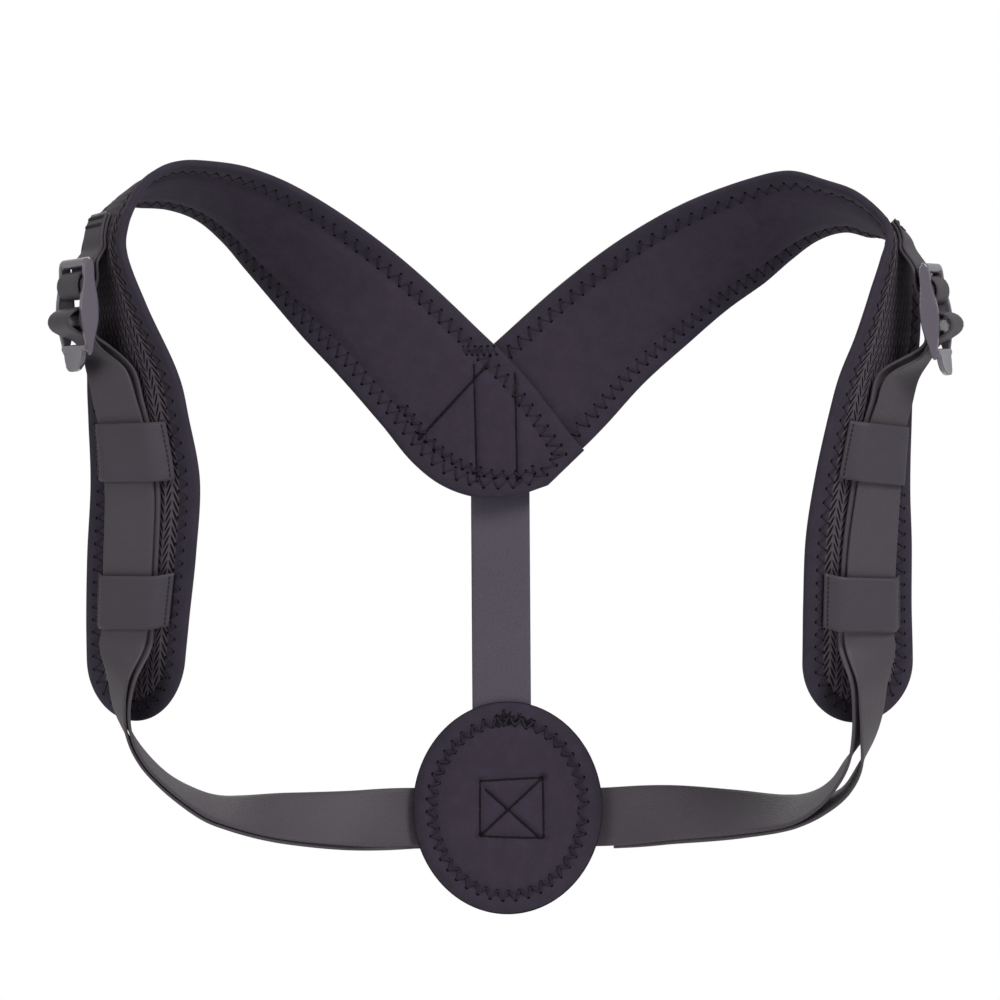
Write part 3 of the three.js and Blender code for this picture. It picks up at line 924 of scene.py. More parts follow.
@dataclass
class Needlework:
    """Stitches of real thread that lie on cloth and dip into it at both ends, and the painted shade of their
    needle holes.
    """

    fabricator: Fabricator
    radius: float = 0.38
    dip: float = 0.35
    rise: float = 0.1
    sides: int = 6
    # Radius of the nearly black dome that paints the shade in each needle hole.
    hole: float = 0.85
    hole_sides: int = 8
    # Ring by ring: share of the hole's radius, and height above the cloth.
    hole_rings: tuple[tuple[float, float], ...] = ((1.0, -0.1), (0.75, 0.05), (0.3, 0.09))

    def sew(
        self,
        name: str,
        starts: Array,
        ends: Array,
        normals: Array,
        thread: bpy.types.Material,
        slot: str,
    ) -> bpy.types.Object:
        """Sew stitches as one piece.

        Args:
            name: The piece's name.
            starts: Where each stitch comes up out of the cloth.
            ends: Where it goes down again.
            normals: The cloth's direction outwards at each stitch.
            thread: The thread's material.
            slot: Not used.

        Returns:
            The piece.
        """
        shares = np.array([0.0, 0.1, 0.3, 0.7, 0.9, 1.0])
        heights = np.array([-self.dip, 0.4 * self.rise, self.rise, self.rise, 0.4 * self.rise, -self.dip])
        swell = np.array([0.7, 0.95, 1.0, 1.0, 0.95, 0.7])
        count = len(starts)
        along = unit(ends - starts)
        away = unit(normals)
        sideways = unit(np.cross(along, away))
        line = starts[:, None] + shares[None, :, None] * (ends - starts)[:, None]
        line = line + heights[None, :, None] * away[:, None]
        angle = TAU * np.arange(self.sides) / self.sides
        ring = self.radius * swell[None, :, None, None] * (
            np.cos(angle)[None, None, :, None] * sideways[:, None, None]
            + np.sin(angle)[None, None, :, None] * away[:, None, None]
        )
        points = (line[:, :, None] + ring).reshape(-1, 3)
        one = tube_faces(len(shares), self.sides)
        size = len(shares) * self.sides
        faces = [[corner + k * size for corner in face] for k in range(count) for face in one]
        length = np.linalg.norm(ends - starts, axis=1)
        across = np.broadcast_to((angle * self.radius)[None, None, :], (count, len(shares), self.sides))
        place = np.broadcast_to(
            (length[:, None] * shares[None, :])[:, :, None], (count, len(shares), self.sides)
        )
        lay = np.stack([across.ravel(), place.ravel()], axis=-1)
        made = self.fabricator.piece(name, points, faces, [thread], None, lay)
        return made

    def follow(
        self, name: str, points: Array, normals: Array, thread: bpy.types.Material, slot: str
    ) -> bpy.types.Object:
        """Sew stitches from each point of a line to the next.

        Args:
            name: The piece's name.
            points: The line's points, where the thread goes in and out of the cloth.
            normals: The cloth's direction outwards at each point.
            thread: The thread's material.
            slot: Not used.

        Returns:
            The piece.
        """
        middle = (normals[:-1] + normals[1:]) / 2
        return self.sew(name, points[:-1], points[1:], middle, thread, slot)

    def paint_hole_shadows(self, name: str, points: Array, normals: Array, slot: str) -> bpy.types.Object:
        """Paint the shade in needle holes, where the thread pulls the cloth down: small nearly black domes.

        Args:
            name: The piece's name.
            points: Where the holes are.
            normals: The cloth's direction outwards there.
            slot: Not used.

        Returns:
            The piece.
        """
        away = unit(normals)
        guide = np.where(np.abs(away[:, 1:2]) < 0.9, [[0.0, 1.0, 0.0]], [[1.0, 0.0, 0.0]])
        right = unit(np.cross(away, guide))
        up = np.cross(away, right)
        angle = TAU * np.arange(self.hole_sides) / self.hole_sides
        swing = np.cos(angle)[None, :, None] * right[:, None] + np.sin(angle)[None, :, None] * up[:, None]
        rings = [
            points[:, None] + share * self.hole * swing + height * away[:, None]
            for share, height in self.hole_rings
        ]
        mesh_points = np.stack(rings, axis=1).reshape(-1, 3)
        one = tube_faces(len(rings), self.hole_sides)
        size = len(rings) * self.hole_sides
        faces = [[corner + k * size for corner in face] for k in range(len(points)) for face in one]
        # Painted shade: the domes take the nearly black colour of the shadow in the holes.
        made = self.fabricator.piece(name, mesh_points, faces, [self.fabricator.finishes.hole])
        return made


def resample(line: Array, step: float) -> Array:
    """Points along a line at even steps.

    Args:
        line: The line's points, of any dimension.
        step: The wanted distance between points.

    Returns:
        The new points, both ends among them.
    """
    lengths = np.concatenate([[0], np.cumsum(np.linalg.norm(np.diff(line, axis=0), axis=1))])
    count = max(2, int(round(lengths[-1] / step)) + 1)
    places = np.linspace(0, lengths[-1], count)
    return np.stack([np.interp(places, lengths, line[:, k]) for k in range(line.shape[1])], axis=-1)


def zigzag(line: Array, half_width: float, pitch: float) -> Array:
    """A zigzag to both sides of a flat line.

    Args:
        line: The line's points, in two dimensions.
        half_width: Half of the zigzag's width.
        pitch: Distance from one peak to the next on the same side.

    Returns:
        The zigzag's corners.
    """
    even = resample(line, pitch / 2)
    ahead = np.gradient(even, axis=0)
    normal = unit(np.stack([-ahead[:, 1], ahead[:, 0]], axis=-1))
    swing = half_width * (1 - 2 * (np.arange(len(even)) % 2))
    return even + swing[:, None] * normal


@dataclass
class Groove:
    """A straight line of stitching that pulls the cloth in, in the yoke's own plane."""

    start: tuple[float, float]
    end: tuple[float, float]
    depth: float
    half_width: float
    thread: float

    def dent(self, points: Array) -> Array:
        """How far the groove pulls the cloth in.

        Args:
            points: Points whose X and Z count.

        Returns:
            A depth for each point.
        """
        start, end = np.array(self.start), np.array(self.end)
        span = end - start
        flat = points[..., [0, 2]] - start
        share = np.clip((flat @ span) / (span @ span), 0, 1)
        away = np.linalg.norm(flat - share[..., None] * span, axis=-1)
        return self.depth * np.exp(-((away / self.half_width) ** 2))


class Face(Enum):
    """The two faces of a padded strap."""

    BODY = -1
    OUTER = 1


def facing(points: Array, face: Face) -> Array:
    """The direction straight out of a level face, at every point.

    Args:
        points: The points, one a row.
        face: Which face.

    Returns:
        Unit vectors, one a row.
    """
    return np.broadcast_to(np.array([[0.0, float(face.value), 0.0]]), points.shape)


@dataclass
class ShoulderPad:
    """One padded shoulder strap: foam between knit and air mesh, with a bound and zigzag-stitched edge."""

    side: Side
    fabricator: Fabricator
    needlework: Needlework
    step: float = 1.2
    fine_step: float = 0.9
    yoke_length: float = 130.0
    columns: int = 88
    crowding: float = 0.72
    edge_round: float = 1.6
    cut_edge: float = 0.05
    body_crown: float = 2.9
    outer_crown: float = 2.72
    pucker_rise: float = 0.2
    pucker_spread: float = 2.6
    unevenness: float = 0.16
    wave_length: float = 70.0
    soft_over: float = 8.0
    groove_reach: float = 120.0
    groove_fade: float = 4.0
    zigzag_in: float = 7.4
    zigzag_half: float = 2.2
    zigzag_pitch: float = 5.7
    second_in: float = 12.2
    second_half: float = 1.5
    second_pitch: float = 4.6
    second_reach: float = 74.0
    seam_stitch: float = 3.6
    tack_line: tuple[tuple[float, float], ...] = ((-17.2, 34.2), (-1.5, 34.2))
    tack_half: float = 1.7
    tack_pitch: float = 2.6
    grooves: list[Groove] = field(default_factory=list)
    tree: BVHTree | None = None

    def __post_init__(self) -> None:
        """Lay the strap's flat outline out."""
        self.route = pad_route(self.side)
        straight = self.route.length - SIZES.pad_end_round
        yoke = np.arange(0, self.yoke_length, self.fine_step)
        rest = np.linspace(self.yoke_length, straight, int((straight - self.yoke_length) / self.step) + 1)
        body = np.concatenate([yoke, rest])
        # The round end stops just short of a quarter turn, so that its last ring keeps some width.
        end_turn = 0.49 * math.pi
        angle = end_turn * np.linspace(0, 1, 25)[1:]
        self.distance = np.concatenate([body, straight + SIZES.pad_end_round * np.sin(angle)])
        self.stations = self.route.after(self.distance)
        self.half = self.half_width(self.distance)
        upper = np.stack([self.distance, self.half], axis=-1)
        lower = np.stack([self.distance, -self.half], axis=-1)
        self.outline = resample(np.vstack([lower[::-1], upper]), 1.0)

    def half_width(self, distance: Array) -> Array:
        """Half of the strap's width at distances along it.

        Args:
            distance: Distances along the strap.

        Returns:
            Half widths.
        """
        wide = self.route.after(distance).wide * SIZES.pad_width / 2
        past = np.clip(distance - self.route.length + SIZES.pad_end_round, 0, None) / SIZES.pad_end_round
        return wide * np.sqrt(np.maximum(1 - np.minimum(past, 1) ** 2, 1e-4))

    def edge_distance(self, along: Array, across: Array) -> Array:
        """Distance from the cut edge, in the flat.

        Args:
            along: Places along the strap.
            across: Places across it.

        Returns:
            Distances, of the same shape.
        """
        flat = np.stack([along.ravel(), across.ravel()], axis=-1)
        tip = np.array([[self.distance[-1], -self.half[-1]], [self.distance[-1], self.half[-1]]])
        loop = np.vstack([
            np.stack([self.distance, self.half], axis=-1),
            tip,
            np.stack([self.distance, -self.half], axis=-1)[::-1],
        ])
        starts, ends = loop, np.roll(loop, -1, axis=0)
        keep = np.linalg.norm(ends - starts, axis=1) > 1e-6
        starts, ends = starts[keep], ends[keep]
        span = ends - starts
        square = (span**2).sum(axis=1)
        nearest = np.full(len(flat), np.inf)
        for k in range(0, len(flat), 2000):
            part = flat[k : k + 2000, None] - starts[None]
            share = np.clip((part * span[None]).sum(axis=2) / square[None], 0, 1)
            away = np.linalg.norm(part - share[..., None] * span[None], axis=2)
            nearest[k : k + 2000] = away.min(axis=1)
        return nearest.reshape(along.shape)

    def thickness(self, edge: Array, along: Array, across: Array, face: Face) -> Array:
        """Half thickness on one face: rounded edge, binding tape, sewn channel and crowned foam.

        Args:
            edge: Distances from the edge.
            along: Places along the strap.
            across: Places across it.
            face: Which face.

        Returns:
            Distances from the strap's middle.
        """
        bind = SIZES.bind_width
        crown = self.outer_crown if face is Face.OUTER else self.body_crown
        # Places in from the cut edge, and the half thickness there.
        rows = np.array([
            (0.0, 1.55),
            (1.6, 1.75),
            (3.2, 2.0),
            (5.0, 1.95),
            (6.6, 1.7),
            (bind - 0.7, 1.5),
            (bind, 1.36),
            (bind + 0.35, 1.12),
            (bind + 1.6, 1.6),
            (13.5, 2.35),
            (18.0, crown - 0.05),
            (40.0, crown),
        ])
        profile = np.interp(edge, rows[:, 0], rows[:, 1])
        inset = np.clip(edge, 0, self.edge_round) / self.edge_round
        profile *= np.sqrt(np.maximum(1 - (1 - inset) ** 2, 0))
        pulled = np.exp(-(((edge - self.zigzag_in) / self.pucker_spread) ** 2))
        pucker = pulled * np.cos(TAU * along / self.zigzag_pitch)
        soft = np.clip((edge - bind) / self.soft_over, 0, 1)
        seed = 11 + 2 * (face is Face.OUTER) + 4 * (self.side is Side.RIGHT)
        uneven = waves(along, across, self.wave_length, seed) * self.unevenness * soft
        if face is Face.OUTER:
            uneven = np.minimum(uneven, 0)
        total = profile + self.pucker_rise * pucker * (edge > self.edge_round) + uneven
        return np.maximum(total, self.cut_edge)

    def groove_share(self, edge: Array, along: Array) -> Array:
        """How much of a groove's pull the cloth takes: none at the cut edge, and none past the yoke."""
        return np.clip(edge / self.groove_fade, 0, 1) * (along < self.groove_reach)

    def build(self) -> None:
        """Build the strap and its stitching."""
        shares = np.linspace(-1, 1, self.columns)
        shares = np.sin(shares * math.pi / 2 * self.crowding) / math.sin(math.pi / 2 * self.crowding)
        across = self.half[:, None] * shares[None, :]
        along = np.broadcast_to(self.distance[:, None], across.shape)
        edge = self.edge_distance(along, across)
        body = self.thickness(edge, along, across, Face.BODY)
        outer = self.thickness(edge, along, across, Face.OUTER)
        if self.grooves:
            flat = self.stations.place(across, -body)
            inside = self.groove_share(edge, along)
            for groove in self.grooves:
                body = body - groove.dent(flat) * inside
        near = self.stations.place(across, -body)
        far = self.stations.place(across, outer)[:, -2:0:-1]
        points = np.concatenate([near, far], axis=1)
        rings, around = points.shape[:2]
        lay_near = np.stack([across, along], axis=-1)
        lay = np.concatenate([lay_near, lay_near[:, -2:0:-1]], axis=1).reshape(-1, 2)
        faces = tube_faces(rings, around)
        depth = np.concatenate([edge, edge[:, -2:0:-1]], axis=1)
        beside = np.roll(depth, -1, axis=1)
        middle = (depth[:-1] + beside[:-1] + depth[1:] + beside[1:]) / 4
        bound = middle < SIZES.bind_width + 0.2
        on_outer = np.arange(around)[None, :] >= self.columns - 1
        chosen = np.where(bound, 1, np.where(on_outer, 2, 0)).ravel()
        chosen = np.concatenate([chosen, [1, 1]])
        finishes = self.fabricator.finishes
        materials = [finishes.knit, finishes.binding, finishes.mesh]
        name = f"{self.side.value}_padded_strap"
        made = self.fabricator.piece(name, points.reshape(-1, 3), faces, materials, chosen, lay)
        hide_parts(f"{self.side.value}_shoulder_pad")
        if self.grooves:
            self.tree = BVHTree.FromPolygons(points.reshape(-1, 3).tolist(), faces[:-2])
        for face in Face:
            self.stitch(face)

    def surface(self, flat: Array, face: Face, lift: float = 0.05) -> tuple[Array, Array]:
        """Points and outward directions of the strap's face at flat places.

        Args:
            flat: Places along and across, one a row.
            face: Which face.
            lift: Height above the face.

        Returns:
            The points and the directions.
        """
        along, across = flat[:, 0], flat[:, 1]
        edge = self.edge_distance(along, across)
        rise = self.thickness(edge, along, across, face)
        stations = self.route.after(along)
        points = stations.place(across, face.value * rise)
        if face is Face.BODY:
            inside = self.groove_share(edge, along)
            for groove in self.grooves:
                rise = rise - groove.dent(points) * inside
        normals = face.value * stations.out
        return stations.place(across, face.value * (rise + lift)), normals

    def contour(self, inset: float) -> Array:
        """The line that lies a distance inside the cut edge.

        Args:
            inset: The distance.

        Returns:
            Places along and across, one a row.
        """
        ahead = unit(np.gradient(self.outline, axis=0))
        inward = np.stack([ahead[:, 1], -ahead[:, 0]], axis=-1)
        moved = self.outline + inset * inward
        inner = moved[:, 0] > 0
        return moved[inner & (self.edge_distance(moved[:, 0], moved[:, 1]) > inset - 0.12)]

    def stitch(self, face: Face) -> None:
        """Sew the zigzag round the edge on one face.

        Args:
            face: Which face.
        """
        thread = self.fabricator.finishes.thread
        corners = zigzag(self.contour(self.zigzag_in), self.zigzag_half, self.zigzag_pitch)
        points, normals = self.surface(corners, face)
        name = f"{self.side.value}_{face.name.lower()}_edge_zigzag"
        self.needlework.follow(name, points, normals, thread, "shoulder_pad")
        self.needlework.paint_hole_shadows(f"{name}_holes", points, normals, "shoulder_pad")
        if self.grooves and face is Face.BODY:
            self.stitch_yoke()

    def stitch_yoke(self) -> None:
        """Sew the yoke: the second zigzag along its lower curve, the short tack and the straight seams."""
        finishes = self.fabricator.finishes
        line = self.contour(self.second_in)
        lower = line[(line[:, 0] < self.second_reach) & (line[:, 1] < -1)]
        points, normals = self.surface(zigzag(lower, self.second_half, self.second_pitch), Face.BODY)
        self.needlework.follow("yoke_second_zigzag", points, normals, finishes.thread, "shoulder_pad")
        self.needlework.paint_hole_shadows("yoke_second_zigzag_holes", points, normals, "shoulder_pad")
        points = self.on_yoke(zigzag(np.array(self.tack_line), self.tack_half, self.tack_pitch))
        back = facing(points, Face.BODY)
        self.needlework.follow("yoke_tack", points, back, finishes.thread, "shoulder_pad")
        self.needlework.paint_hole_shadows("yoke_tack_holes", points, back, "shoulder_pad")
        for number, groove in enumerate(self.grooves, 1):
            even = self.on_yoke(resample(np.array([groove.start, groove.end]), self.seam_stitch))
            back = facing(even, Face.BODY)
            seam = Needlework(self.fabricator, radius=groove.thread, rise=0.0, dip=0.15)
            seam.follow(f"yoke_seam_{number}", even, back, finishes.dark_thread, "shoulder_pad")

    def on_yoke(self, flat: Array) -> Array:
        """Points on the yoke's body side at X and Z.

        Args:
            flat: X and Z, one a row.

        Returns:
            The points.
        """
        found = []
        for x, z in flat:
            place = self.tree.ray_cast(Vector((x, -SIZES.forward, z)), Vector((0, 1, 0)))[0]
            if place is not None:
                found.append(tuple(place))
        return np.array(found)


def band_outline(width: float, thick: float, columns: int = 15) -> tuple[Array, Array]:
    """Cross-section of webbing: flat faces and rounded selvedges.

    Args:
        width: Full width.
        thick: Full thickness.
        columns: Points across one face.

    Returns:
        Places across and outwards, round the section.
    """
    half, deep = width / 2, thick / 2
    tip, bend = 0.12, 0.55
    face = np.concatenate([[-half + tip], np.linspace(-half + bend, half - bend, columns), [half - tip]])
    # The webbing thins by 14 % towards its selvedges, over the last 1.6 mm.
    selvedge = 0.86 + 0.14 * np.clip((half - np.abs(face)) / 1.6, 0, 1)
    low = np.stack([face, -deep * selvedge], axis=-1)
    low[[0, -1], 1] = -0.55 * deep
    high = np.stack([face[::-1], deep * selvedge], axis=-1)
    high[[0, -1], 1] = 0.55 * deep
    ring = np.vstack([low, [[half, 0]], high, [[-half, 0]]])
    return ring[:, 0], ring[:, 1]


@dataclass
class WebbingStrip:
    """A length of webbing along frames, with a faint ripple such as webbing keeps from its roll."""

    fabricator: Fabricator
    width: float = SIZES.web_width
    thick: float = SIZES.web_thick
    step: float = 1.6
    ripple: float = 0.05
    ripple_length: float = 60.0

    def build(
        self,
        name: str,
        route: Route,
        material: bpy.types.Material,
        slot: str,
        *nodes: str,
    ) -> bpy.types.Object:
        """Build the strip.

        Args:
            name: The piece's name.
            route: Its route.
            material: Its material.
            slot: Not used.
            nodes: The solids that it stands for.

        Returns:
            The piece.
        """
        count = int(route.length / self.step) + 2
        distance = np.linspace(0, route.length, count)
        stations = route.after(distance)
        across, out = band_outline(self.width, self.thick)
        widths = np.broadcast_to(across[None, :], (count, len(across)))
        heights = np.broadcast_to(out[None, :], widths.shape)
        ripples = waves(distance[:, None], widths, self.ripple_length, len(name))
        heights = heights + self.ripple * ripples
        points = stations.place(widths, heights).reshape(-1, 3)
        along = np.broadcast_to(distance[:, None], widths.shape)
        lay = np.stack([widths, along], axis=-1).reshape(-1, 2)
        faces = tube_faces(count, len(across))
        made = self.fabricator.piece(name, points, faces, [material], None, lay)
        for node in nodes:
            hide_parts(node)
        return made


@dataclass
class BucklePlace:
    """Where a buckle hangs: its centre and its directions."""

    centre: Array
    wide: Array
    high: Array
    deep: Array

    @classmethod
    def hang(cls, side: Side, pad: Route) -> "BucklePlace":
        """Find the place off the shoulder strap.

        Args:
            side: Which side.
            pad: The shoulder strap's route.

        Returns:
            The place.
        """
        settings = SETTINGS[side]
        station = pad.before(settings.buckle_up)
        tilt = math.radians(settings.buckle_tilt)
        high = np.array([-side.sign * math.sin(tilt), 0, math.cos(tilt)])
        wide = across_of(side.sign, 0, settings.buckle_turn)
        wide = unit(wide - high * (wide @ high))
        deep = unit(np.cross(high, wide) * side.sign)
        lift = SIZES.pad_thick / 2 + settings.buckle_lift + BUCKLE.rail_deep / 2
        centre = station.place(np.array([-SIZES.buckle_shift]), np.array([lift]))[0]
        return cls(centre, wide, high, deep)

    def at(self, out: float, up: float) -> Array:
        """A point at a distance outwards and upwards from the centre."""
        return self.centre + out * self.deep + up * self.high


BACK_WRAP = BUCKLE.bar_deep / 2 + SIZES.gap + SIZES.web_thick / 2
END_WRAP = BUCKLE.bar_high / 2 + SIZES.gap + SIZES.web_thick / 2
WRAP_STEP = 30


def wrap(
    buckle: BucklePlace, up: float, front: float, first: int, last: int
) -> list[tuple[Array, Array]]:
    """Frames of webbing round a bar.

    Args:
        buckle: The buckle's place.
        up: Height of the bar.
        front: How far the webbing's middle stands off in front.
        first: First angle, where 0 is behind the bar and 90 above it.
        last: Last angle.

    Returns:
        Points and directions across.
    """
    frames = []
    for degrees in range(first, last + 1, WRAP_STEP):
        angle = math.radians(degrees)
        deep = front if 90 < degrees < 270 else BACK_WRAP
        point = buckle.at(-deep * math.cos(angle), up + END_WRAP * math.sin(angle))
        frames.append((point, buckle.wide))
    return frames


def route_of(frames: list[tuple[Array, Array]], sign: int) -> Route:
    """A route through frames.

    Args:
        frames: Points and directions across.
        sign: Sign of the side's X.

    Returns:
        The route.
    """
    return Route(np.array([point for point, _ in frames]), np.array([across for _, across in frames]), sign)


@dataclass
class SideWebbing:
    """The side strap and the anchor of one side, as they run between back pad, loops, buckle and shoulder."""

    side: Side
    pad: Route
    buckle: BucklePlace
    strip: WebbingStrip
    needlework: Needlework
    tack_rows: tuple[float, ...] = (2.2, 5.4)
    tack_pitch: float = 1.5
    tack_half: float = 0.7
    tack_in: float = 1.2
    # Numbers of frames: before the loops, at the loops and on the back pad.
    frames_before: int = 4
    frames_held: int = 9
    frames_on_back: int = 4

    @staticmethod
    def shift(up: float) -> float:
        """How far the strap lies from the pad's middle at a height above its lower end."""
        share = (up - SIZES.lower_loop_up) / (SIZES.upper_loop_up - SIZES.lower_loop_up)
        return SIZES.web_shift_low + share * (SIZES.web_shift_high - SIZES.web_shift_low)

    def on_pad(self, up: float, across: float, lift: float) -> tuple[Array, Array]:
        """A frame on the pad's outer face.

        Args:
            up: Distance from the pad's lower end.
            across: Distance across from the pad's middle.
            lift: Distance outwards from it.

        Returns:
            The point and the direction across.
        """
        station = self.pad.before(up)
        return station.place(np.array([across]), np.array([lift]))[0], station.across[0]

    def sewn(self, share: float, lift: float) -> tuple[Array, Array]:
        """A frame of the anchor's sewn length.

        Args:
            share: From 0 at its upper end to 1 at its lower end.
            lift: Distance outwards from the pad's middle.

        Returns:
            The point and the direction across.
        """
        up = SIZES.anchor_up - share * SIZES.anchor_sewn
        return self.on_pad(up, share * SIZES.anchor_slant - SIZES.web_shift_high, lift)

    def spine(self) -> tuple[Route, Array]:
        """Route between the strap's two layers, and how far they are spread at its frames.

        Returns:
            The route and the spreads.
        """
        settings, sign = SETTINGS[self.side], self.side.sign
        thick = SIZES.web_thick
        low = -END_WRAP - thick
        between = SIZES.layer / 2 - BACK_WRAP
        lift = SIZES.pad_seat + SIZES.web_float + thick + SIZES.layer_gap / 2
        halfway = SIZES.upper_loop_up + SIZES.landing_share * (settings.buckle_up - SIZES.upper_loop_up)
        frames = [
            (self.buckle.at(between, low), self.buckle.wide),
            (self.buckle.at(between - SIZES.tuck, low - BUCKLE.bar_high / 2), self.buckle.wide),
            self.on_pad(halfway, -self.shift(halfway), lift + SIZES.landing_lift),
        ]
        spread = [0.0, thick, SIZES.landing_spread]
        first = SIZES.upper_loop_up + SIZES.loop_height / 2
        last = SIZES.lower_loop_up - SIZES.loop_height / 2
        third = SIZES.loop_height / 3
        held = [(up, 0.0) for up in np.linspace(first, last, self.frames_held)]
        for up, extra in [(first + third, thick), *held, (last - third, thick)]:
            frames.append(self.on_pad(up, -self.shift(up), lift + extra))
            spread.append(extra / 2)
        for out, back, up, lean, turn, apart in WEB_ROWS[self.side]:
            point = np.array([sign * out * SIZES.reach, back * SIZES.forward, up * SIZES.rise])
            frames.append((point, across_of(sign, lean, turn)))
            spread.append(apart * thick)
        y = SIZES.back_plane + SIZES.gap + thick / 2 + settings.pile * (thick + SIZES.gap) + SIZES.layer / 2
        square = SIZES.sewn_square / 2
        for out in (SIZES.back_width / 2, square, 0, -square):
            point = np.array([SIZES.back_out + sign * out, y, -SIZES.back_down - SIZES.side_drop])
            frames.append((point, np.array([0.0, 0.0, -1.0])))
            spread.append(0.0)
        return route_of(frames, sign), np.array(spread)

    def strap_route(self) -> Route:
        """Route of the whole side strap: up from the back pad, round the toothed bar and down as a tail.

        Returns:
            The route.
        """
        spine, spread = self.spine()
        last = len(spine.points) - 1
        cut = spine.share_at(spine.length - SIZES.sewn_square / 2 - SETTINGS[self.side].tail_short)
        # The tail slips sideways down to the loops, and back again from below them to the back pad.
        below = self.frames_before + self.frames_held
        turns = (0, self.frames_before, below, last - self.frames_on_back)
        slips = (0, SIZES.slip_high, SIZES.slip_high, SIZES.slip_low)
        load, tail = [], []
        for i in range(last + 1):
            station = spine.at(i / last)
            inner = -SIZES.layer / 2 - spread[i] / 2
            load.insert(0, (station.place(np.array([0.0]), np.array([inner]))[0], station.across[0]))
            if i / last < cut:
                slip = np.interp(i, turns, slips)
                outer = SIZES.layer / 2 + spread[i] / 2
                tail.append((station.place(np.array([slip]), np.array([outer]))[0], station.across[0]))
        before = math.floor(cut * last) / last
        for share in ((before + cut) / 2, cut):
            end = spine.at(share)
            away = SIZES.layer / 2 + SIZES.tail_lift
            tail.append((end.place(np.array([SIZES.slip_low]), np.array([away]))[0], end.across[0]))
        turned = wrap(self.buckle, 0, BACK_WRAP + BUCKLE.roll_slack, 0, 240)
        return route_of(load + turned + tail, self.side.sign)

    def anchor_route(self) -> Route:
        """Route of the anchor: from the pad, behind the top bar, round the anchor bar and back.

        Returns:
            The route.
        """
        thick, layer = SIZES.web_thick, SIZES.layer
        inner = SIZES.pad_thick / 2 + SIZES.anchor_float + thick / 2
        outer = inner + thick + SIZES.gap / 3
        seam = (0, 0.25, 0.5, 0.75, 1)
        behind = BUCKLE.top_bar_thick / 2 + SIZES.gap + thick / 2
        wide = self.buckle.wide
        frames = [
            *(self.sewn(share, outer) for share in seam),
            (self.buckle.at(-behind, BUCKLE.top_bar_up), wide),
            *wrap(self.buckle, BUCKLE.bar_spacing, BACK_WRAP + SIZES.gap, 60, 330),
            (self.buckle.at(-behind - layer, BUCKLE.bar_spacing + END_WRAP / 2), wide),
            (self.buckle.at(-behind - layer, BUCKLE.top_bar_up), wide),
            *(self.sewn(share, inner) for share in reversed(seam)),
        ]
        return route_of(frames, self.side.sign)

    def build(self) -> None:
        """Build both lengths of webbing."""
        finishes = self.strip.fabricator.finishes
        name = self.side.value
        strap = self.strap_route()
        LOG.info("%s side strap length: %.0f mm", name, strap.length)
        self.strip.build(
            f"{name}_side_webbing", strap, finishes.side_webbing, "webbing", f"{name}_side_strap"
        )
        self.strip.build(
            f"{name}_anchor_webbing", self.anchor_route(), finishes.side_webbing, "webbing", f"{name}_anchor"
        )
        self.tack_anchor()

    def tack_anchor(self) -> None:
        """Sew the anchor's upper end to the pad with close zigzag rows."""
        lift = SIZES.pad_thick / 2 + SIZES.anchor_float + 2 * SIZES.web_thick + SIZES.gap / 3
        half = SIZES.web_width / 2 - self.tack_in
        starts, ends, normals = [], [], []
        for row in self.tack_rows:
            middle = np.array([[-half, SIZES.anchor_up - row], [half, SIZES.anchor_up - row]])
            corners = zigzag(middle, self.tack_half, self.tack_pitch)
            drift = row / SIZES.anchor_sewn * SIZES.anchor_slant - SIZES.web_shift_high
            stations = self.pad.before(corners[:, 1])
            line = stations.place(corners[:, 0] + drift, np.full(len(corners), lift))
            starts.append(line[:-1])
            ends.append(line[1:])
            normals.append(stations.out[:-1])
        self.needlework.sew(
            f"{self.side.value}_anchor_tack",
            np.vstack(starts),
            np.vstack(ends),
            np.vstack(normals),
            self.strip.fabricator.finishes.thread,
            "webbing",
        )


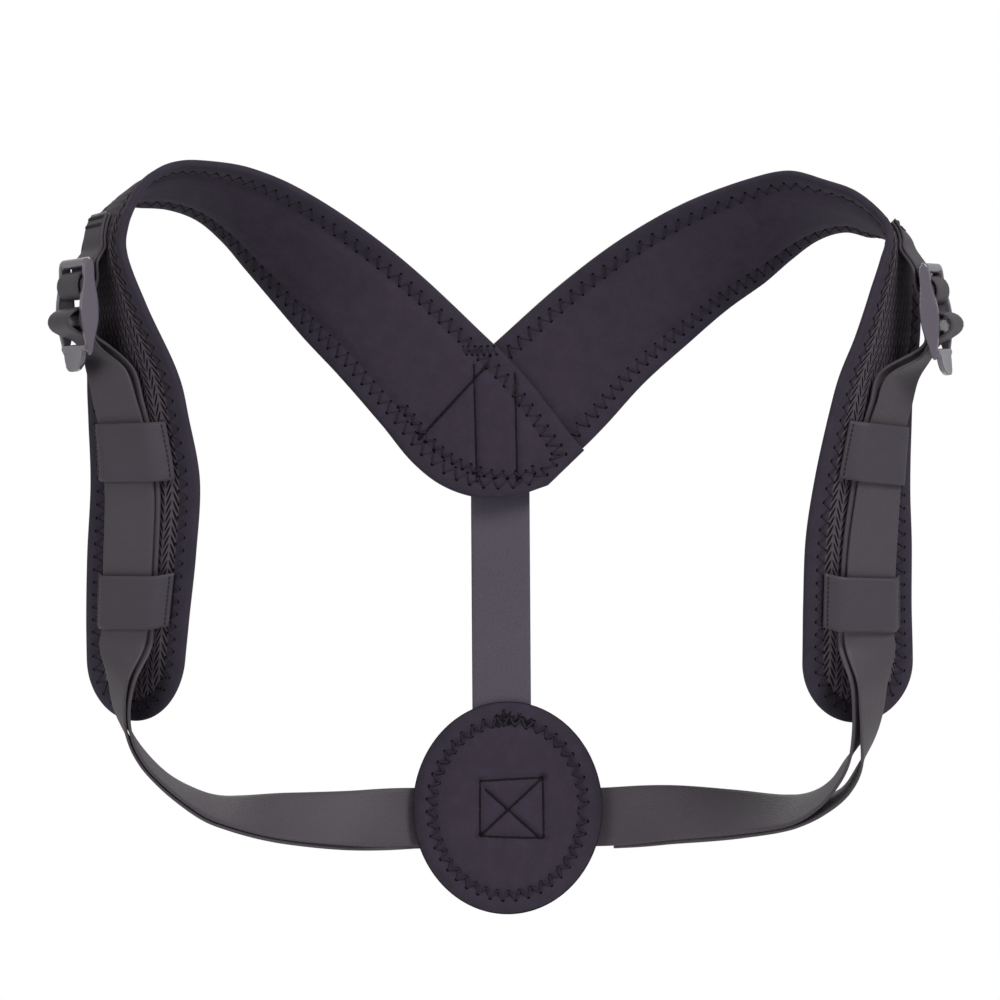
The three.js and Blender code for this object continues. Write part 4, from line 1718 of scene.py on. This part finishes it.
@dataclass
class KeeperLoop:
    """A flat tape sewn to the pad at both ends and raised over the webbing."""

    side: Side
    name: str
    up: float
    pad: Route
    fabricator: Fabricator
    needlework: Needlework
    thick: float = 1.1
    rows: int = 17
    toe: float = 1.2
    toe_drop: float = 1.3
    seam_drop: float = 0.5
    lean: float = 0.2
    shoulder: float = 2.2
    shoulder_drop: float = 0.8
    crown: float = 0.15
    stitch_share: float = 0.86

    def build(self) -> None:
        """Build the tape and the stitches of its feet."""
        shift = SideWebbing.shift(self.up)
        clear = SIZES.web_width / 2 + abs(SIZES.slip_high) + SIZES.gap
        seat = SIZES.pad_seat + SIZES.web_thick / 2
        top = SIZES.pad_seat + SIZES.web_float + 2.5 * SIZES.web_thick + SIZES.layer_gap + SIZES.loop_slack
        left, right = -shift - clear, -shift + clear
        reach = SIZES.loop_ramp + SIZES.loop_foot
        knots = np.array([
            [left - reach, seat - self.toe_drop],
            [left - reach + self.toe, seat - self.seam_drop],
            [left + self.lean, top - self.shoulder_drop],
            [left + self.shoulder, top],
            [-shift, top + self.crown],
            [right - self.shoulder, top],
            [right - self.lean, top - self.shoulder_drop],
            [right + reach - self.toe, seat - self.seam_drop],
            [right + reach, seat - self.toe_drop],
        ])
        path = resample(catmull_rom(knots, np.linspace(0, 1, 200), True), 0.8)
        ahead = unit(np.gradient(path, axis=0))
        normal = np.stack([-ahead[:, 1], ahead[:, 0]], axis=-1)
        widths = np.linspace(-0.5, 0.5, self.rows) * SIZES.loop_height
        stations = self.pad.before(self.up - widths)
        # The tape thins by 45 % in the last 6 % of its half width.
        outwards = np.abs(np.linspace(-1, 1, self.rows))
        rim = 0.55 + 0.45 * np.sqrt(np.clip(1 - (outwards - 0.94) / 0.06, 0, 1))
        rings = []
        for k in range(len(path)):
            upper = path[k] + normal[k] * (self.thick / 2)
            lower = path[k] - normal[k] * (self.thick / 2)
            lift = (rim - 1) * self.thick / 2
            high = stations.place(np.full(self.rows, upper[0]), upper[1] + lift)
            low = stations.place(np.full(self.rows, lower[0]), lower[1] - lift)
            rings.append(np.vstack([low, high[::-1]]))
        points = np.array(rings)
        count, around = points.shape[:2]
        distance = np.concatenate([[0], np.cumsum(np.linalg.norm(np.diff(path, axis=0), axis=1))])
        across = np.broadcast_to(np.concatenate([widths, widths[::-1]])[None], (count, around))
        along = np.broadcast_to(distance[:, None], (count, around))
        lay = np.stack([across, along], axis=-1).reshape(-1, 2)
        label = f"{self.side.value}_{self.name}_keeper"
        tape = self.fabricator.finishes.loop_tape
        faces = tube_faces(count, around)
        made = self.fabricator.piece(label, points.reshape(-1, 3), faces, [tape], None, lay)
        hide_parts(f"{self.side.value}_{self.name}_loop")
        seams = (left - reach + self.toe, right + reach - self.toe)
        self.stitch(label, seams, seat - self.seam_drop + self.thick / 2)

    def stitch(self, label: str, places: tuple[float, float], lift: float) -> None:
        """Sew both feet down.

        Args:
            label: Start of the piece's name.
            places: Where the two seams lie across the pad.
            lift: Height of the tape's face.
        """
        ups = np.linspace(-0.46, 0.46, 12) * SIZES.loop_height
        stations = self.pad.before(self.up - ups)
        starts, ends, normals = [], [], []
        for across in places:
            line = stations.place(np.full(len(ups), across), np.full(len(ups), lift))
            starts.append(line[:-1])
            ends.append(line[:-1] + self.stitch_share * (line[1:] - line[:-1]))
            normals.append(stations.out[:-1])
        thread = self.fabricator.finishes.thread
        self.needlework.sew(
            f"{label}_seam", np.vstack(starts), np.vstack(ends), np.vstack(normals), thread, "loop_webbing"
        )


@dataclass
class LadderLock:
    """A moulded ladder-lock buckle: two side rails, three bars and a lever lip, fused with small fillets."""

    side: Side
    place: BucklePlace
    fabricator: Fabricator
    voxel: float = 0.36

    @staticmethod
    def prism(work: bmesh.types.BMesh, outline: list[tuple[float, float]], low: float, high: float) -> None:
        """Add a prism along the bars.

        Args:
            work: The mesh to add it to.
            outline: Places outwards and upwards, in order.
            low: Where it starts along the bars.
            high: Where it ends.
        """
        bottom = [work.verts.new((x, y, low)) for x, y in outline]
        roof = [work.verts.new((x, y, high)) for x, y in outline]
        work.faces.new(bottom[::-1])
        work.faces.new(roof)
        for i, near in enumerate(bottom):
            after = (i + 1) % len(bottom)
            work.faces.new([near, bottom[after], roof[after], roof[i]])

    @staticmethod
    def oval(x: float, y: float, deep: float, high: float, teeth: float = 0.0) -> list[tuple[float, float]]:
        """Outline of a bar.

        Args:
            x: Its middle, outwards.
            y: Its middle, upwards.
            deep: Full depth.
            high: Full height.
            teeth: Height of the ridges on it.

        Returns:
            The outline.
        """
        points = []
        for i in range(BUCKLE.bar_points):
            angle = TAU * i / BUCKLE.bar_points
            grow = 1 + (teeth / high) * (0.5 + 0.5 * math.cos(BUCKLE.bar_teeth * angle))
            points.append((x + grow * deep / 2 * math.cos(angle), y + grow * high / 2 * math.sin(angle)))
        return points

    def rail(self) -> list[tuple[float, float]]:
        """Outline of a side rail: deepest in the middle, with rounded ends.

        Returns:
            The outline.
        """
        low, top = -BUCKLE.rail_below, BUCKLE.top_bar_up + BUCKLE.top_bar_thick / 2
        shares = np.linspace(0, 1, 25)
        heights = low + (top - low) * shares
        bow = BUCKLE.rail_deep / 2 * np.sin(math.pi * shares**0.8) ** 0.8
        ends = BUCKLE.rail_end_deep / 2 * np.sqrt(np.clip(1 - np.abs(2 * shares - 1) ** 14, 0.05, 1))
        ends = ends * (0.55 + 0.45 * np.minimum(1, 3 * shares))
        half = np.maximum(ends, ends + (bow - BUCKLE.rail_end_deep / 2) * np.sin(math.pi * shares))
        right = list(zip(half, heights, strict=True))
        left = list(zip(-half[::-1], heights[::-1], strict=True))
        return [(float(x), float(y)) for x, y in right + left]

    def build(self) -> None:
        """Build the buckle."""
        inside = SIZES.web_width + 2 * BUCKLE.side_play
        reach = inside / 2 + BUCKLE.rail_thick / 2
        work = bmesh.new()
        deep, high = BUCKLE.bar_deep, BUCKLE.bar_high
        self.prism(work, self.oval(0, 0, deep, high, BUCKLE.tooth_high), -reach, reach)
        self.prism(work, self.oval(0, BUCKLE.bar_spacing, deep, high), -reach, reach)
        thick = BUCKLE.top_bar_thick
        self.prism(work, self.oval(0, BUCKLE.top_bar_up, thick, thick), -reach, reach)
        for end in (-1, 1):
            near, far = sorted((end * inside / 2, end * (inside / 2 + BUCKLE.rail_thick)))
            self.prism(work, self.rail(), near, far)
        self.lip(work)
        mesh = bpy.data.meshes.new("buckle_blank")
        bmesh.ops.recalc_face_normals(work, faces=work.faces)
        work.to_mesh(mesh)
        work.free()
        blank = bpy.data.objects.new("buckle_blank", mesh)
        bpy.context.scene.collection.objects.link(blank)
        fuse = blank.modifiers.new("fuse", "REMESH")
        fuse.mode = "VOXEL"
        fuse.voxel_size = self.voxel
        soften = blank.modifiers.new("soften", "SMOOTH")
        soften.factor = 0.5
        soften.iterations = 4
        ready = bpy.data.meshes.new_from_object(blank.evaluated_get(bpy.context.evaluated_depsgraph_get()))
        points = np.zeros(len(ready.vertices) * 3)
        ready.vertices.foreach_get("co", points)
        points = points.reshape(-1, 3)
        faces = [list(face.vertices) for face in ready.polygons]
        bpy.data.objects.remove(blank)
        bpy.data.meshes.remove(ready)
        across = np.cross(self.place.deep, self.place.high)
        turned = points @ np.array([self.place.deep, self.place.high, across]) + self.place.centre
        name = f"{self.side.value}_ladder_lock"
        made = self.fabricator.piece(name, turned, faces, [self.fabricator.finishes.acetal])
        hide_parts(f"{self.side.value}_buckle")

    def lip(self, work: bmesh.types.BMesh) -> None:
        """Add the lever lip, a tongue with a rounded tip, and the rib that joins it to the rails.

        Args:
            work: The mesh to add it to.
        """
        start = -BUCKLE.rail_below + BUCKLE.rail_end_deep / 2
        drop = BUCKLE.lip_drop + start
        rows, columns = 14, 16
        grid = []
        for i in range(rows + 1):
            share = i / rows
            turn = share * math.pi / 2 * BUCKLE.lip_turn
            up = start - drop * math.sin(turn)
            half = BUCKLE.lip_width / 2 * math.cos(turn) ** BUCKLE.lip_point
            out = BUCKLE.lip_flare * share**2
            row = []
            for j in range(columns + 1):
                side = -1 + 2 * j / columns
                dish = 0.5 * (1 - side**2)
                row.append((out - dish * BUCKLE.lip_dish, up, half * side))
            grid.append(row)
        thick = BUCKLE.lip_thick
        back = [[work.verts.new(point) for point in row] for row in grid]
        front = [[work.verts.new((x + thick, y, z)) for x, y, z in row] for row in grid]
        for i in range(rows):
            for j in range(columns):
                work.faces.new([back[i][j], back[i + 1][j], back[i + 1][j + 1], back[i][j + 1]])
                work.faces.new([front[i][j], front[i][j + 1], front[i + 1][j + 1], front[i + 1][j]])
        rim = [(0, j) for j in range(columns)] + [(i, columns) for i in range(rows)]
        rim += [(rows, j) for j in range(columns, 0, -1)] + [(i, 0) for i in range(rows, 0, -1)]
        for k, (i, j) in enumerate(rim):
            m, n = rim[(k + 1) % len(rim)]
            work.faces.new([back[i][j], back[m][n], front[m][n], front[i][j]])
        inside = SIZES.web_width / 2 + BUCKLE.side_play + BUCKLE.rail_thick / 2
        rib = self.oval(thick / 2, BUCKLE.rail_thick - BUCKLE.rail_below, thick, BUCKLE.rail_thick)
        self.prism(work, rib, -inside, inside)


@dataclass
class BackPad:
    """The oval back pad: crowned foam in knit cloth, ringed by zigzag, with the webbing's box stitch."""

    fabricator: Fabricator
    needlework: Needlework
    rings: int = 46
    spokes: int = 200
    ring_in: float = 8.3
    ring_half: float = 2.2
    ring_pitch: float = 5.2
    cross_lean: float = 2.2
    crowding: float = 1.35
    near_round: float = 1.2
    far_round: float = 1.6
    bind_less: float = 1.6
    pucker_in: float = 9.0
    pucker_spread: float = 4.0
    pucker_count: int = 46
    pucker_rise: float = 0.22
    unevenness: float = 0.12
    wave_length: float = 48.0
    soft_over: float = 6.0
    box_dent: float = 1.15
    box_dent_half: float = 1.5
    box_stitch: float = 2.9
    pile_stitch: float = 3.0
    tack_seed: int = 8
    tack_count: int = 30
    tack_sideways: tuple[float, float] = (-3.0, 12.5)
    tack_upwards: tuple[float, float] = (37.2, 41.8)
    tack_length: tuple[float, float] = (2.4, 4.6)
    tack_lean: float = 0.9
    tack_turned_from: float = 0.6
    tack_sag: float = 0.035
    tack_sag_at: float = 3.0
    box_corners: tuple[tuple[float, float], ...] = (
        (-9.9, -151.4),
        (17.2, -149.8),
        (17.6, -176.1),
        (-9.9, -175.2),
    )
    pile_corners: tuple[tuple[float, float], ...] = (
        (15.0, -157.2),
        (-9.0, -157.2),
        (-9.0, -177.4),
        (15.0, -177.4),
    )

    def edge(self, x: Array, z: Array) -> Array:
        """Distance from the rim.

        Args:
            x: Places from the middle, to the right.
            z: Places from the middle, upwards.

        Returns:
            Distances.
        """
        wide, high = SIZES.back_width / 2, SIZES.back_height / 2
        share = np.sqrt((x / wide) ** 2 + (z / high) ** 2)
        radius = np.sqrt(x**2 + z**2)
        mean = np.where(share > 1e-6, radius / np.maximum(share, 1e-6), wide)
        return (1 - share) * mean

    def box_lines(self) -> list[tuple[tuple[float, float], tuple[float, float]]]:
        """Lines of the box stitch and its cross, in the pad's plane from its own middle.

        Returns:
            Each line's start and end.
        """
        corners = [(x - SIZES.back_out, z + SIZES.back_down) for x, z in self.box_corners]
        square = list(zip(corners, corners[1:] + corners[:1], strict=True))
        lean = self.cross_lean
        return square + [
            ((corners[0][0] + lean, corners[0][1] - 1.6 * lean), (corners[2][0] - lean, corners[2][1] + 0.6)),
            (corners[1], corners[3]),
        ]

    def height(self, x: Array, z: Array) -> Array:
        """Height of the body side above the pad's outer face.

        Args:
            x: Places from the middle, to the right.
            z: Places from the middle, upwards.

        Returns:
            Heights.
        """
        edge = self.edge(x, z)
        # Places in from the rim, and the height there.
        rows = np.array([
            (0.0, 1.6),
            (1.2, 2.4),
            (3.0, 3.6),
            (5.4, 4.1),
            (7.6, 3.7),
            (8.6, 3.2),
            (9.6, 3.6),
            (11.5, 4.7),
            (14.5, 5.6),
            (20.0, 6.0),
            (45.0, 6.15),
        ])
        total = np.interp(edge, rows[:, 0], rows[:, 1])
        for start, end in self.box_lines():
            a, b = np.array(start), np.array(end)
            flat = np.stack([x, z], axis=-1) - a
            share = np.clip((flat @ (b - a)) / ((b - a) @ (b - a)), 0, 1)
            away = np.linalg.norm(flat - share[..., None] * (b - a), axis=-1)
            total = total - self.box_dent * np.exp(-((away / self.box_dent_half) ** 2))
        pulled = np.exp(-(((edge - self.pucker_in) / self.pucker_spread) ** 2))
        pucker = pulled * np.cos(self.pucker_count * np.arctan2(z, x))
        uneven = self.unevenness * waves(x, z, self.wave_length, 5) * np.clip(edge / self.soft_over, 0, 1)
        return total + self.pucker_rise * pucker + uneven

    def build(self) -> None:
        """Build the pad and its stitching."""
        wide, high = SIZES.back_width / 2, SIZES.back_height / 2
        shares = 1 - (1 - np.linspace(0, 1, self.rings + 1)[1:]) ** self.crowding
        angle = TAU * np.arange(self.spokes) / self.spokes
        x = shares[:, None] * wide * np.cos(angle)[None]
        z = shares[:, None] * high * np.sin(angle)[None]
        edge = np.maximum(self.edge(x, z), 0)
        inwards = np.sqrt(np.clip(edge / self.near_round, 0, 1))
        up = self.height(x, z) * np.where(edge < self.near_round, inwards * 0.5 + 0.5, 1)
        arc = 1 - np.sqrt(np.clip(1 - (1 - edge / self.far_round) ** 2, 0, 1))
        back = np.where(edge < self.far_round, self.far_round * arc, 0)
        near = np.stack([x, SIZES.back_plane - up, z], axis=-1)
        far = np.stack([x, SIZES.back_plane - back, z], axis=-1)
        shift = np.array([SIZES.back_out, 0, -SIZES.back_down])
        centre_up = float(self.height(np.zeros(1), np.zeros(1))[0])
        middle = np.array([[0, SIZES.back_plane - centre_up, 0], [0, SIZES.back_plane, 0]])
        points = np.vstack([middle, near.reshape(-1, 3), far.reshape(-1, 3)]) + shift
        lay = points[:, [0, 2]]
        faces, chosen = [], []
        for half in range(2):
            base = 2 + half * self.rings * self.spokes
            for k in range(self.spokes):
                after = (k + 1) % self.spokes
                faces.append([half, base + k, base + after])
                chosen.append(0)
            for i in range(self.rings - 1):
                row, below = base + i * self.spokes, base + (i + 1) * self.spokes
                for k in range(self.spokes):
                    after = (k + 1) % self.spokes
                    faces.append([row + k, below + k, below + after, row + after])
                    chosen.append(int(edge[i, 0] < SIZES.bind_width - self.bind_less))
        rim_near = 2 + (self.rings - 1) * self.spokes
        rim_far = rim_near + self.rings * self.spokes
        for k in range(self.spokes):
            after = (k + 1) % self.spokes
            faces.append([rim_near + k, rim_far + k, rim_far + after, rim_near + after])
            chosen.append(1)
        finishes = self.fabricator.finishes
        materials = [finishes.knit, finishes.binding]
        made = self.fabricator.piece("oval_back_pad", points, faces, materials, np.array(chosen), lay)
        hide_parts("back_pad")
        self.stitch()

    def on_face(self, flat: Array) -> Array:
        """Points on the body side at flat places from the pad's middle.

        Args:
            flat: Places to the right and upwards, one a row.

        Returns:
            The points.
        """
        up = self.height(flat[:, 0], flat[:, 1]) + 0.05
        x = flat[:, 0] + SIZES.back_out
        return np.stack([x, SIZES.back_plane - up, flat[:, 1] - SIZES.back_down], axis=-1)

    def stitch(self) -> None:
        """Sew the zigzag ring and the box stitch."""
        wide, high = SIZES.back_width / 2 - self.ring_in, SIZES.back_height / 2 - self.ring_in
        angle = np.linspace(0, TAU, 400)
        ring = np.stack([wide * np.cos(angle), high * np.sin(angle)], axis=-1)
        corners = zigzag(ring, self.ring_half, self.ring_pitch)
        corners[-1] = corners[0]
        points = self.on_face(corners)
        back = facing(points, Face.BODY)
        finishes = self.fabricator.finishes
        self.needlework.follow("back_pad_zigzag", points, back, finishes.thread, "back_pad")
        self.needlework.paint_hole_shadows("back_pad_zigzag_holes", points[:-1], back[:-1], "back_pad")
        starts, ends = [], []
        for start, end in self.box_lines():
            even = resample(np.array([start, end]), self.box_stitch)
            line = self.on_face(even)
            starts.append(line[:-1])
            ends.append(line[1:])
        joined = np.vstack(starts)
        back = facing(joined, Face.BODY)
        box = Needlework(self.fabricator, radius=0.5, rise=0.08, dip=0.05)
        box.sew("back_pad_box_stitch", joined, np.vstack(ends), back, finishes.dark_thread, "back_pad")
        self.tack()
        self.close_pile()

    def close_pile(self) -> None:
        """Sew the outermost webbing end down on the pad's outer side."""
        flat = resample(np.array(self.pile_corners), self.pile_stitch)
        out = SIZES.back_plane + SIZES.gap + 2 * (SIZES.web_thick + SIZES.gap) + SIZES.web_thick
        points = np.stack([flat[:, 0], np.full(len(flat), out), flat[:, 1]], axis=-1)
        thread = self.fabricator.finishes.thread
        self.needlework.follow("webbing_end_seam", points, facing(points, Face.OUTER), thread, "back_pad")

    def tack(self) -> None:
        """Sew the untidy back-tack where the ring's seam starts and ends."""
        draw = np.random.default_rng(self.tack_seed)
        count = self.tack_count
        x = draw.uniform(*self.tack_sideways, count) - SIZES.back_out
        z = draw.uniform(*self.tack_upwards, count) - self.tack_sag * (x - self.tack_sag_at) ** 2
        lean = draw.uniform(-self.tack_lean, self.tack_lean, count)
        angle = lean + math.pi / 2 * (draw.uniform(size=count) > self.tack_turned_from)
        length = draw.uniform(*self.tack_length, count)
        reach = 0.5 * length[:, None] * np.stack([np.cos(angle), np.sin(angle)], axis=-1)
        middle = np.stack([x, z], axis=-1)
        starts, ends = self.on_face(middle - reach), self.on_face(middle + reach)
        dark = self.fabricator.finishes.dark_thread
        back = facing(starts, Face.BODY)
        self.needlework.sew("back_pad_back_tack", starts, ends, back, dark, "back_pad")


@dataclass
class CentreStrap:
    """The webbing that joins the yoke to the back pad."""

    strip: WebbingStrip
    needlework: Needlework
    seam_in: float = 2.6
    seam_low: float = -22.5
    seam_stitch: float = 3.0

    def sew_down(self) -> None:
        """Sew the strap to the yoke, inside both selvedges and across its top end."""
        half = SIZES.web_width / 2 - self.seam_in
        top = SIZES.centre_top - self.seam_in
        line = np.array([(-half, self.seam_low), (-half, top), (half, top), (half, self.seam_low)])
        flat = resample(line, self.seam_stitch)
        out = SIZES.back_plane + SIZES.gap + SIZES.web_thick
        points = np.stack([flat[:, 0] + SIZES.centre_out, np.full(len(flat), out), flat[:, 1]], axis=-1)
        thread = self.strip.fabricator.finishes.thread
        self.needlework.follow("centre_strap_seam", points, facing(points, Face.OUTER), thread, "webbing")

    def build(self) -> None:
        """Build the strap."""
        y = SIZES.back_plane + SIZES.gap + SIZES.web_thick / 2
        low = -SIZES.back_down - SIZES.sewn_square / 2
        points = np.array([
            [SIZES.centre_out, y, SIZES.centre_top],
            [SIZES.centre_out + SIZES.centre_drift, y, low],
        ])
        across = np.array([[1.0, 0, 0], [1.0, 0, 0]])
        material = self.strip.fabricator.finishes.centre_webbing
        self.strip.build("centre_webbing", Route(points, across, 1), material, "webbing", "centre_strap")
        self.sew_down()


@dataclass
class Studio:
    """Pale floor, plain soft light and the camera."""

    finishes: Finishes
    camera_at: tuple[float, float, float] = (-0.0013, -2.4, -0.0301)
    span_at_yoke: float = 0.4305
    sensor: float = 36.0
    far_clip: float = 20.0
    aim_at: tuple[float, float, float] = (0.0, 0.0, -0.04)
    # Name, place, side of the panel and power in watts.
    panels: tuple[tuple[str, tuple[float, float, float], float, float], ...] = (
        ("key_panel", (1.3, -1.7, 1.7), 1.0, 62.0),
        ("fill_panel", (-1.8, -1.6, 0.8), 1.5, 20.0),
        ("back_panel", (-0.2, 1.8, 1.5), 1.4, 24.0),
    )
    floor_at: tuple[float, float, float] = (0.0, -0.05, -0.32)
    floor_radius: float = 0.8
    ambient: float = 0.45

    def camera(self) -> None:
        """Set the camera level, straight at the yoke."""
        data = bpy.data.cameras.new("camera")
        data.sensor_width = self.sensor
        data.lens = self.sensor * -self.camera_at[1] / self.span_at_yoke
        data.clip_end = self.far_clip
        made = bpy.data.objects.new("camera", data)
        made.location = self.camera_at
        made.rotation_euler = (math.pi / 2, 0, 0)
        bpy.context.scene.collection.objects.link(made)
        bpy.context.scene.camera = made

    def light(self, name: str, at: tuple[float, float, float], size: float, power: float) -> None:
        """Add a soft light that points at the brace.

        Args:
            name: Its name.
            at: Where it stands.
            size: Side of its panel.
            power: Its power in watts.
        """
        data = bpy.data.lights.new(name, "AREA")
        data.size = size
        data.energy = power
        made = bpy.data.objects.new(name, data)
        made.location = at
        aim = Vector(self.aim_at) - Vector(at)
        made.rotation_euler = aim.to_track_quat("-Z", "Y").to_euler()
        bpy.context.scene.collection.objects.link(made)

    def build(self) -> None:
        """Build the studio."""
        self.camera()
        for panel in self.panels:
            self.light(*panel)
        world = bpy.data.worlds.new("white_room")
        world.use_nodes = True
        tree = world.node_tree
        seen = add_node(tree, "ShaderNodeLightPath").outputs["Is Camera Ray"]
        strength = add_node(tree, "ShaderNodeMapRange", None, {0: seen, 3: self.ambient, 4: 1.0}).outputs[0]
        sky = tree.nodes["Background"]
        sky.inputs["Color"].default_value = (1, 1, 1, 1)
        tree.links.new(strength, sky.inputs["Strength"])
        bpy.context.scene.world = world
        bpy.context.scene.view_settings.view_transform = "Standard"
        mesh = bpy.data.meshes.new("floor")
        work = bmesh.new()
        bmesh.ops.create_circle(work, cap_ends=True, segments=96, radius=self.floor_radius)
        work.to_mesh(mesh)
        work.free()
        mesh.materials.append(self.finishes.floor)
        floor = bpy.data.objects.new("floor", mesh)
        floor.location = self.floor_at
        bpy.context.scene.collection.objects.link(floor)


def yoke_grooves() -> list[Groove]:
    """Lines that show on the yoke: the centre strap's two seams and the hidden strap's end.

    Returns:
        The grooves.
    """
    return [
        Groove((-12.6, 28.5), (-11.2, -22.5), 1.3, 1.1, 0.5),
        Groove((5.0, 28.5), (6.2, -22.5), 1.3, 1.1, 0.45),
        Groove((-7.3, 27.5), (-36.6, -4.3), 1.3, 1.2, 0.75),
    ]


def main() -> None:
    """Build the brace piece by piece."""
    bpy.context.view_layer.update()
    finishes = Finishes()
    Studio(finishes).build()
    fabricator = Fabricator(finishes)
    needlework = Needlework(fabricator)
    strip = WebbingStrip(fabricator)
    for side in Side:
        grooves = yoke_grooves() if side is Side.LEFT else []
        pad = ShoulderPad(side, fabricator, needlework, grooves=grooves)
        pad.build()
        place = BucklePlace.hang(side, pad.route)
        SideWebbing(side, pad.route, place, strip, needlework).build()
        for name, up in (("upper", SIZES.upper_loop_up), ("lower", SIZES.lower_loop_up)):
            KeeperLoop(side, name, up, pad.route, fabricator, needlework).build()
        LadderLock(side, place, fabricator).build()
    CentreStrap(strip, needlework).build()
    BackPad(fabricator, needlework).build()


if __name__ == "__main__":
    main()
